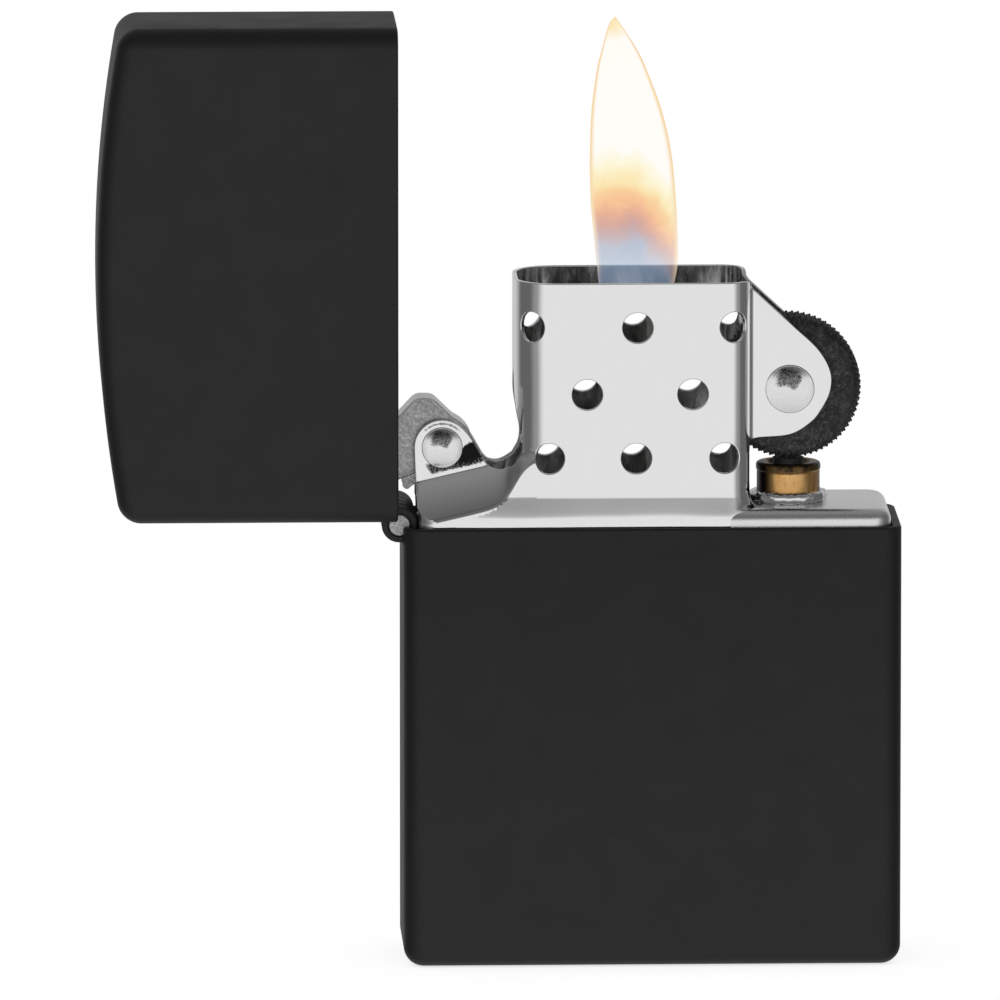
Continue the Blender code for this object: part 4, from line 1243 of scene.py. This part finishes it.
def make_felt():
    """The felt at the bottom of the tank, with a fuzzy skin, soft edges and a hole for the screw."""
    span, soft, hole_radius = Span("felt_pad"), 0.3, 2.85
    low, high = span.low, span.high
    outer = np.array(outline(low.x + soft, high.x - soft, high.y - soft, 0.8, 70, 8))
    hole = np.array(arc(WHEEL_X, 0, hole_radius + soft, 360, 0, 60)[:-1])
    flat, triangles = triangulated(outer, [hole], grid_points(outer.min(0), outer.max(0), 0.3))
    count = len(flat)

    def fuzz(x, y, z):
        spot = Vector((x, y, z))
        return 0.07 + 0.05 * noise.noise(spot * 0.9) + 0.03 * noise.noise(spot * 3)

    points = [(x, y, z + way * fuzz(x, y, z)) for z, way in ((low.z, 1), (high.z, -1)) for x, y in flat]
    faces = [tuple(t[::-1]) for t in triangles] + [tuple(t + count) for t in triangles]
    first = 0
    for loop in (outer, hole):
        out = outward_of(loop, [True] * len(loop))
        rings = [np.arange(first, first + len(loop))]
        for a in np.linspace(-60, 60, 5):
            bulge, height = soft * math.cos(math.radians(a)) * 0.95, math.sin(math.radians(a))
            base = len(points)
            for (x, y), (dx, dy) in zip(loop, out):
                reach = bulge - fuzz(x, y, height) / 2
                points.append((x + dx * reach, y + dy * reach, span.mid.z + span.size.z * 0.48 * height))
            rings.append(np.arange(base, base + len(loop)))
        rings.append(np.arange(first, first + len(loop)) + count)
        for lower, upper in zip(rings, rings[1:]):
            faces += [(lower[i - 1], lower[i], upper[i], upper[i - 1]) for i in range(len(loop))]
        first += len(loop)
    faces = [tuple(int(i) for i in face) for face in faces]
    add_piece("felt", (points, faces), "felt", "insert", "felt_pad", sharp_deg=None)


THREAD_PITCH, THREAD_DEPTH = 0.5, 0.16


def make_screw():
    """The flint screw: a slotted head, a threaded shank and the nose that holds its spring."""
    span, steps = Span("flint_screw"), 48
    bottom, head, shank, nose, top = span.low.z, span.size.x / 2, 1.38, 0.6, span.high.z
    corners = [(0, bottom), (head, bottom, 0.3), (head, bottom + 1, 0.12), (shank, bottom + 1)]
    corners += [(shank, bottom + 1.1)]
    profile = rounded_profile(corners, 0.02, 4)
    profile += [(shank, z) for z in np.arange(bottom + 1.2, bottom + 5.6, THREAD_PITCH / 10)]
    end = bottom + 5.8
    profile += [(shank, end - 0.15), (shank - 0.15, end)]
    profile += [(nose, end), (nose, top - 0.15), (nose - 0.15, top), (0, top)]
    points, faces = turned(profile, (WHEEL_X, 0, 0), "Z", steps)
    threaded = []
    for x, y, z in points:
        if bottom + 1.15 < z < end - 0.17:
            turn = math.atan2(y, x - WHEEL_X) / (2 * math.pi)
            groove = 1 - abs(2 * ((z / THREAD_PITCH - turn) % 1) - 1)
            scale = 1 - THREAD_DEPTH * groove / shank
            x, y = WHEEL_X + (x - WHEEL_X) * scale, y * scale
        threaded.append((x, y, z))
    screw = add_piece("slotted_screw", (threaded, faces), "brass", "screw", "flint_screw")
    cut(screw, *block((WHEEL_X - head - 1, -0.4, bottom - 1), (WHEEL_X + head + 1, 0.4, bottom + 0.5)))


def make_flint():
    """The flint's rod, its top worn to the wheel's curve."""
    span = Span("flint")
    radius, reach = span.size.x / 2, WHEEL_RADIUS + 0.05
    low, high = span.low.z, span.high.z
    profile = [(0, low), (radius - 0.05, low), (radius, low + 0.05), (radius, high)]
    profile += [(radius * share, high) for share in (0.9, 0.6, 0.3, 0)]
    points, faces = turned(profile, (WHEEL_X, 0, 0), "Z", 48)
    worn = [(x, y, min(z, WHEEL_Z - math.sqrt(reach**2 - (x - WHEEL_X) ** 2))) for x, y, z in points]
    add_piece("flint_rod", (worn, faces), "flint", "flint_stack", "flint")


def make_flint_spring():
    """The coil in the tube."""
    span, wire, turns, around, sides = Span("flint_spring"), 0.2, 16, 28, 10
    radius, low, high = span.size.x / 2 - wire, span.low.z + wire, span.high.z - wire
    rings = []
    for k in range(turns * around + 1):
        a, z = 2 * math.pi * k / around, low + (high - low) * k / (turns * around)
        section = arc(radius, z, wire, 0, 360, sides)[:-1]
        rings.append([(WHEEL_X + r * math.cos(a), r * math.sin(a), height) for r, height in section])
    solid = capped_tube(rings)
    coil = add_piece("coil_spring", solid, "spring_steel", "spring_carrier", "flint_spring", sharp_deg=None)
    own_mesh(coil)


# Flame: staged, because it isn't a part of the lighter

FLAME_LEFT = [
    (-1.9, 47.5), (-3.0, 49.5), (-3.8, 51.3), (-4.1, 53.5), (-4.3, 55.5), (-4.58, 58.5),
    (-4.63, 62.0), (-4.5, 65.4), (-4.1, 68.5), (-3.71, 70.1), (-3.18, 72.0), (-2.75, 72.6),
]
FLAME_RIGHT = [
    (-0.7, 47.5), (0.6, 49.5), (1.6, 51.3), (2.1, 53.5), (2.09, 56.0), (1.95, 58.8),
    (1.6, 62.2), (0.87, 65.4), (-0.28, 68.5), (-1.04, 70.1), (-2.26, 72.0), (-2.65, 72.6),
]


def make_flame():
    levels = np.concatenate([np.linspace(47.5, 70, 60), np.linspace(70.2, 72.6, 18)])

    def edge(points):
        curve = np.array(spline(points, 0.1))
        return np.interp(levels, curve[:, 1], curve[:, 0])

    left, right = edge(FLAME_LEFT), edge(FLAME_RIGHT)
    rings = []
    for a, b, z in zip(left, right, levels):
        ring = arc((a + b) / 2, 0, (b - a) / 2, 0, 360, 48)[:-1]
        rings.append([(x, 0.75 * y, z) for x, y in ring])
    solid = capped_tube(rings)
    flame = recalculated(add_object("flame", *solid, flame_material(), "insert", sharp_deg=None))
    flame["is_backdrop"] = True
    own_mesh(flame)
    for attribute in ("visible_glossy", "visible_diffuse", "visible_shadow"):
        setattr(flame, attribute, False)


def flame_material():
    """A glow: clear blue at the wick, orange above it, then near-white inside a thin peach outline."""
    material = bpy.data.materials.new("flame_glow")
    g = new_graph(material)
    place = g.millimetres()
    x, _, z = g.split(place)
    beside = g.maths("ADD", x, 1.2)
    spread = g.maths("SQRT", g.maths("ADD", g.maths("MULTIPLY", beside, beside), 0.3))
    tilt = g.maths("ADD", g.maths("MULTIPLY", beside, 0.425), g.maths("MULTIPLY", spread, 0.675))
    curl = g.maths("MULTIPLY", g.noise(place, 0.45, 2.0, 0.5, 0.6), 2.2)
    height = g.range(g.maths("ADD", g.maths("ADD", z, tilt), curl), 51.5, 75.5)

    def at(level):
        return (level - 50.0) / 24.0

    inner = g.ramp(height, [
        (at(50.5), (0.24, 0.34, 0.50)), (at(54.4), (0.28, 0.38, 0.54)), (at(55.4), (0.38, 0.42, 0.55)),
        (at(56.2), (0.50, 0.36, 0.38)), (at(57.0), (0.64, 0.35, 0.30)), (at(57.9), (0.80, 0.42, 0.27)),
        (at(58.7), (0.94, 0.55, 0.29)), (at(59.5), (0.95, 0.64, 0.33)), (at(60.3), (0.97, 0.81, 0.46)),
        (at(61.5), (0.99, 0.93, 0.70)), (at(63.0), (1.0, 0.98, 0.94)), (at(70.8), (1.0, 0.98, 0.92)),
        (at(72.0), (0.97, 0.82, 0.50)), (at(72.9), (0.95, 0.62, 0.34)),
    ])
    facing = g.add("ShaderNodeLayerWeight", {"Blend": 0.5}).outputs["Facing"]
    rim = g.ramp(facing, [(0.36, 0.0), (0.72, 1.0)], "EASE")
    edge = g.ramp(height, [
        (at(52.0), (0.45, 0.52, 0.68)), (at(55.0), (0.75, 0.62, 0.56)), (at(57.5), (0.93, 0.74, 0.47)),
        (at(62.0), (0.92, 0.72, 0.44)), (at(68.0), (0.92, 0.66, 0.36)), (at(71.0), (0.93, 0.58, 0.30)),
    ])
    colour = g.mix(rim, inner, edge)
    glow = g.add("ShaderNodeEmission", {"Color": colour, "Strength": 1.0})
    clear = g.add("ShaderNodeBsdfTransparent")
    body = g.ramp(g.range(z, 47.0, 60.0), [
        (0.26, 0.0), (0.31, 0.3), (0.42, 0.45), (0.55, 0.62), (0.76, 0.92), (1.0, 1.0),
    ])
    wisp = g.ramp(facing, [(0.88, 1.0), (1.0, 0.25)], "EASE")
    shown = g.maths("MULTIPLY", body, wisp)
    only_camera = g.add("ShaderNodeLightPath").outputs["Is Camera Ray"]
    front_only = g.maths("SUBTRACT", 1.0, g.add("ShaderNodeNewGeometry").outputs["Backfacing"])
    shown = g.maths("MULTIPLY", g.maths("MULTIPLY", shown, only_camera), front_only)
    mixed = g.add("ShaderNodeMixShader", {0: shown, 1: clear.outputs[0], 2: glow.outputs[0]})
    g.add("ShaderNodeOutputMaterial", {"Surface": mixed.outputs[0]})
    return material


# Stage

def make_floor():
    """A plain pale floor that glows evenly white, with a painted soft shadow where the case stands on it."""
    half = 3000
    corners = [(-half, -half, 0), (half, -half, 0), (half, half, 0), (-half, half, 0)]
    floor = plain_object("floor", corners, [(0, 1, 2, 3)])
    floor.location.z = -0.02 * MM
    material = bpy.data.materials.new("pale_floor")
    g = new_graph(material)
    # painted contact shadow: ambient occlusion darkens the floor's glow near the case
    near = g.add("ShaderNodeAmbientOcclusion", {"Distance": 9 * MM}, samples=16).outputs["AO"]
    colour = g.ramp(near, [(0.0, 0.72), (0.45, 0.93), (0.75, 0.985), (1.0, 1.0)], "EASE")
    glow = g.add("ShaderNodeEmission", {"Color": colour, "Strength": 1.0})
    g.add("ShaderNodeOutputMaterial", {"Surface": glow.outputs[0]})
    floor.data.materials.append(material)
    floor.visible_glossy = False
    floor.visible_diffuse = False
    floor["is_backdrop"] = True


def make_world():
    """Soft studio surroundings: a broad bright front, dark sides, a dim top and a grey far wall.

    The camera itself sees plain white."""
    world = bpy.data.worlds.new("studio")
    bpy.context.scene.world = world
    g = new_graph(world)
    x, y, z = g.split(g.add("ShaderNodeTexCoord").outputs["Generated"])
    flat = g.maths("SQRT", g.maths("ADD", g.maths("MULTIPLY", x, x), g.maths("MULTIPLY", y, y)))
    toward_front = g.maths("DIVIDE", g.maths("MULTIPLY", y, -1.0), g.maths("MAXIMUM", flat, 0.001))
    height = g.range(z, -1.0, 1.0)

    def place(elevation_deg):
        return (1 + math.sin(math.radians(elevation_deg))) / 2

    front = g.ramp(height, [
        (place(-80), 0.50), (place(-35), 0.70), (place(-12), 0.77), (place(12), 0.76), (place(16), 0.42),
        (place(20), 0.34), (place(26), 0.12), (place(60), 0.14), (place(72), 0.21), (place(88), 0.22),
    ])
    back = g.ramp(height, [
        (place(-30), 0.6), (place(0), 0.56), (place(12), 0.50), (place(40), 0.34), (place(80), 0.22),
    ])
    side = g.ramp(height, [(place(-60), 0.3), (place(-25), 0.13), (place(20), 0.11), (place(80), 0.22)])
    front_share = g.ramp(g.range(toward_front, -1.0, 1.0), [(0.56, 0.0), (0.74, 0.25), (0.90, 1.0)], "EASE")
    far_side = g.ramp(g.range(toward_front, -1.0, 1.0), [(0.05, 1.0), (0.30, 0.0)], "EASE")
    colour = g.mix(front_share, side, front)
    colour = g.mix(far_side, colour, back)
    seen = g.add("ShaderNodeLightPath").outputs["Is Camera Ray"]
    colour = g.mix(seen, colour, (1.0, 1.0, 1.0))
    sky = g.add("ShaderNodeBackground", {"Color": colour, "Strength": 1.0})
    g.add("ShaderNodeOutputWorld", {"Surface": sky.outputs[0]})


def make_camera():
    """A long lens a little above the shoulder, framing the open lighter with its flame."""
    centre = Vector((-11.72, -HALF_DEPTH, 36.3)) * MM
    distance, visible_width = 1500 * MM, 76.3 * MM
    elevation, azimuth = math.radians(8.8), math.radians(2)
    data = bpy.data.cameras.new("camera")
    camera = bpy.data.objects.new("camera", data)
    bpy.context.scene.collection.objects.link(camera)
    data.lens = data.sensor_width * distance / visible_width
    level = math.cos(elevation)
    back = Vector((-math.sin(azimuth) * level, -math.cos(azimuth) * level, math.sin(elevation)))
    camera.location = centre + back * distance
    camera.rotation_euler = (-back).to_track_quat("-Z", "Y").to_euler()
    bpy.context.scene.camera = camera
    bpy.context.scene.view_settings.view_transform = "Standard"


def paint_kept_nodes():
    """Procedural finishes for the CAD pieces that stay in view. Their slots have the names of finishes."""
    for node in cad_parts.values():
        for slot in node.material_slots:
            key = slot.material.name.split(".")[0]
            slot.material = MATERIALS.get(key, MATERIALS["polished_steel"])


paint_kept_nodes()
make_case()
make_lid()
make_hinge()
make_tank()
make_sheet()
make_collar()
make_rivet("wheel_rivet", "wheel_axle_rivet", 1.8, 0.9)
make_rivet("cam_ear_rivet", "cam_rivet", 1.5, 0.75)
make_cam()
make_cam_spring()
make_wheel()
make_tube()
make_wick()
make_wads()
make_felt()
make_screw()
make_flint()
make_flint_spring()
make_flame()
make_floor()
make_world()
make_camera()

boxes = {"cad": cad_bounds, "visual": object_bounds()}
{name: [list(corner) for corner in box] for name, box in boxes.items()}
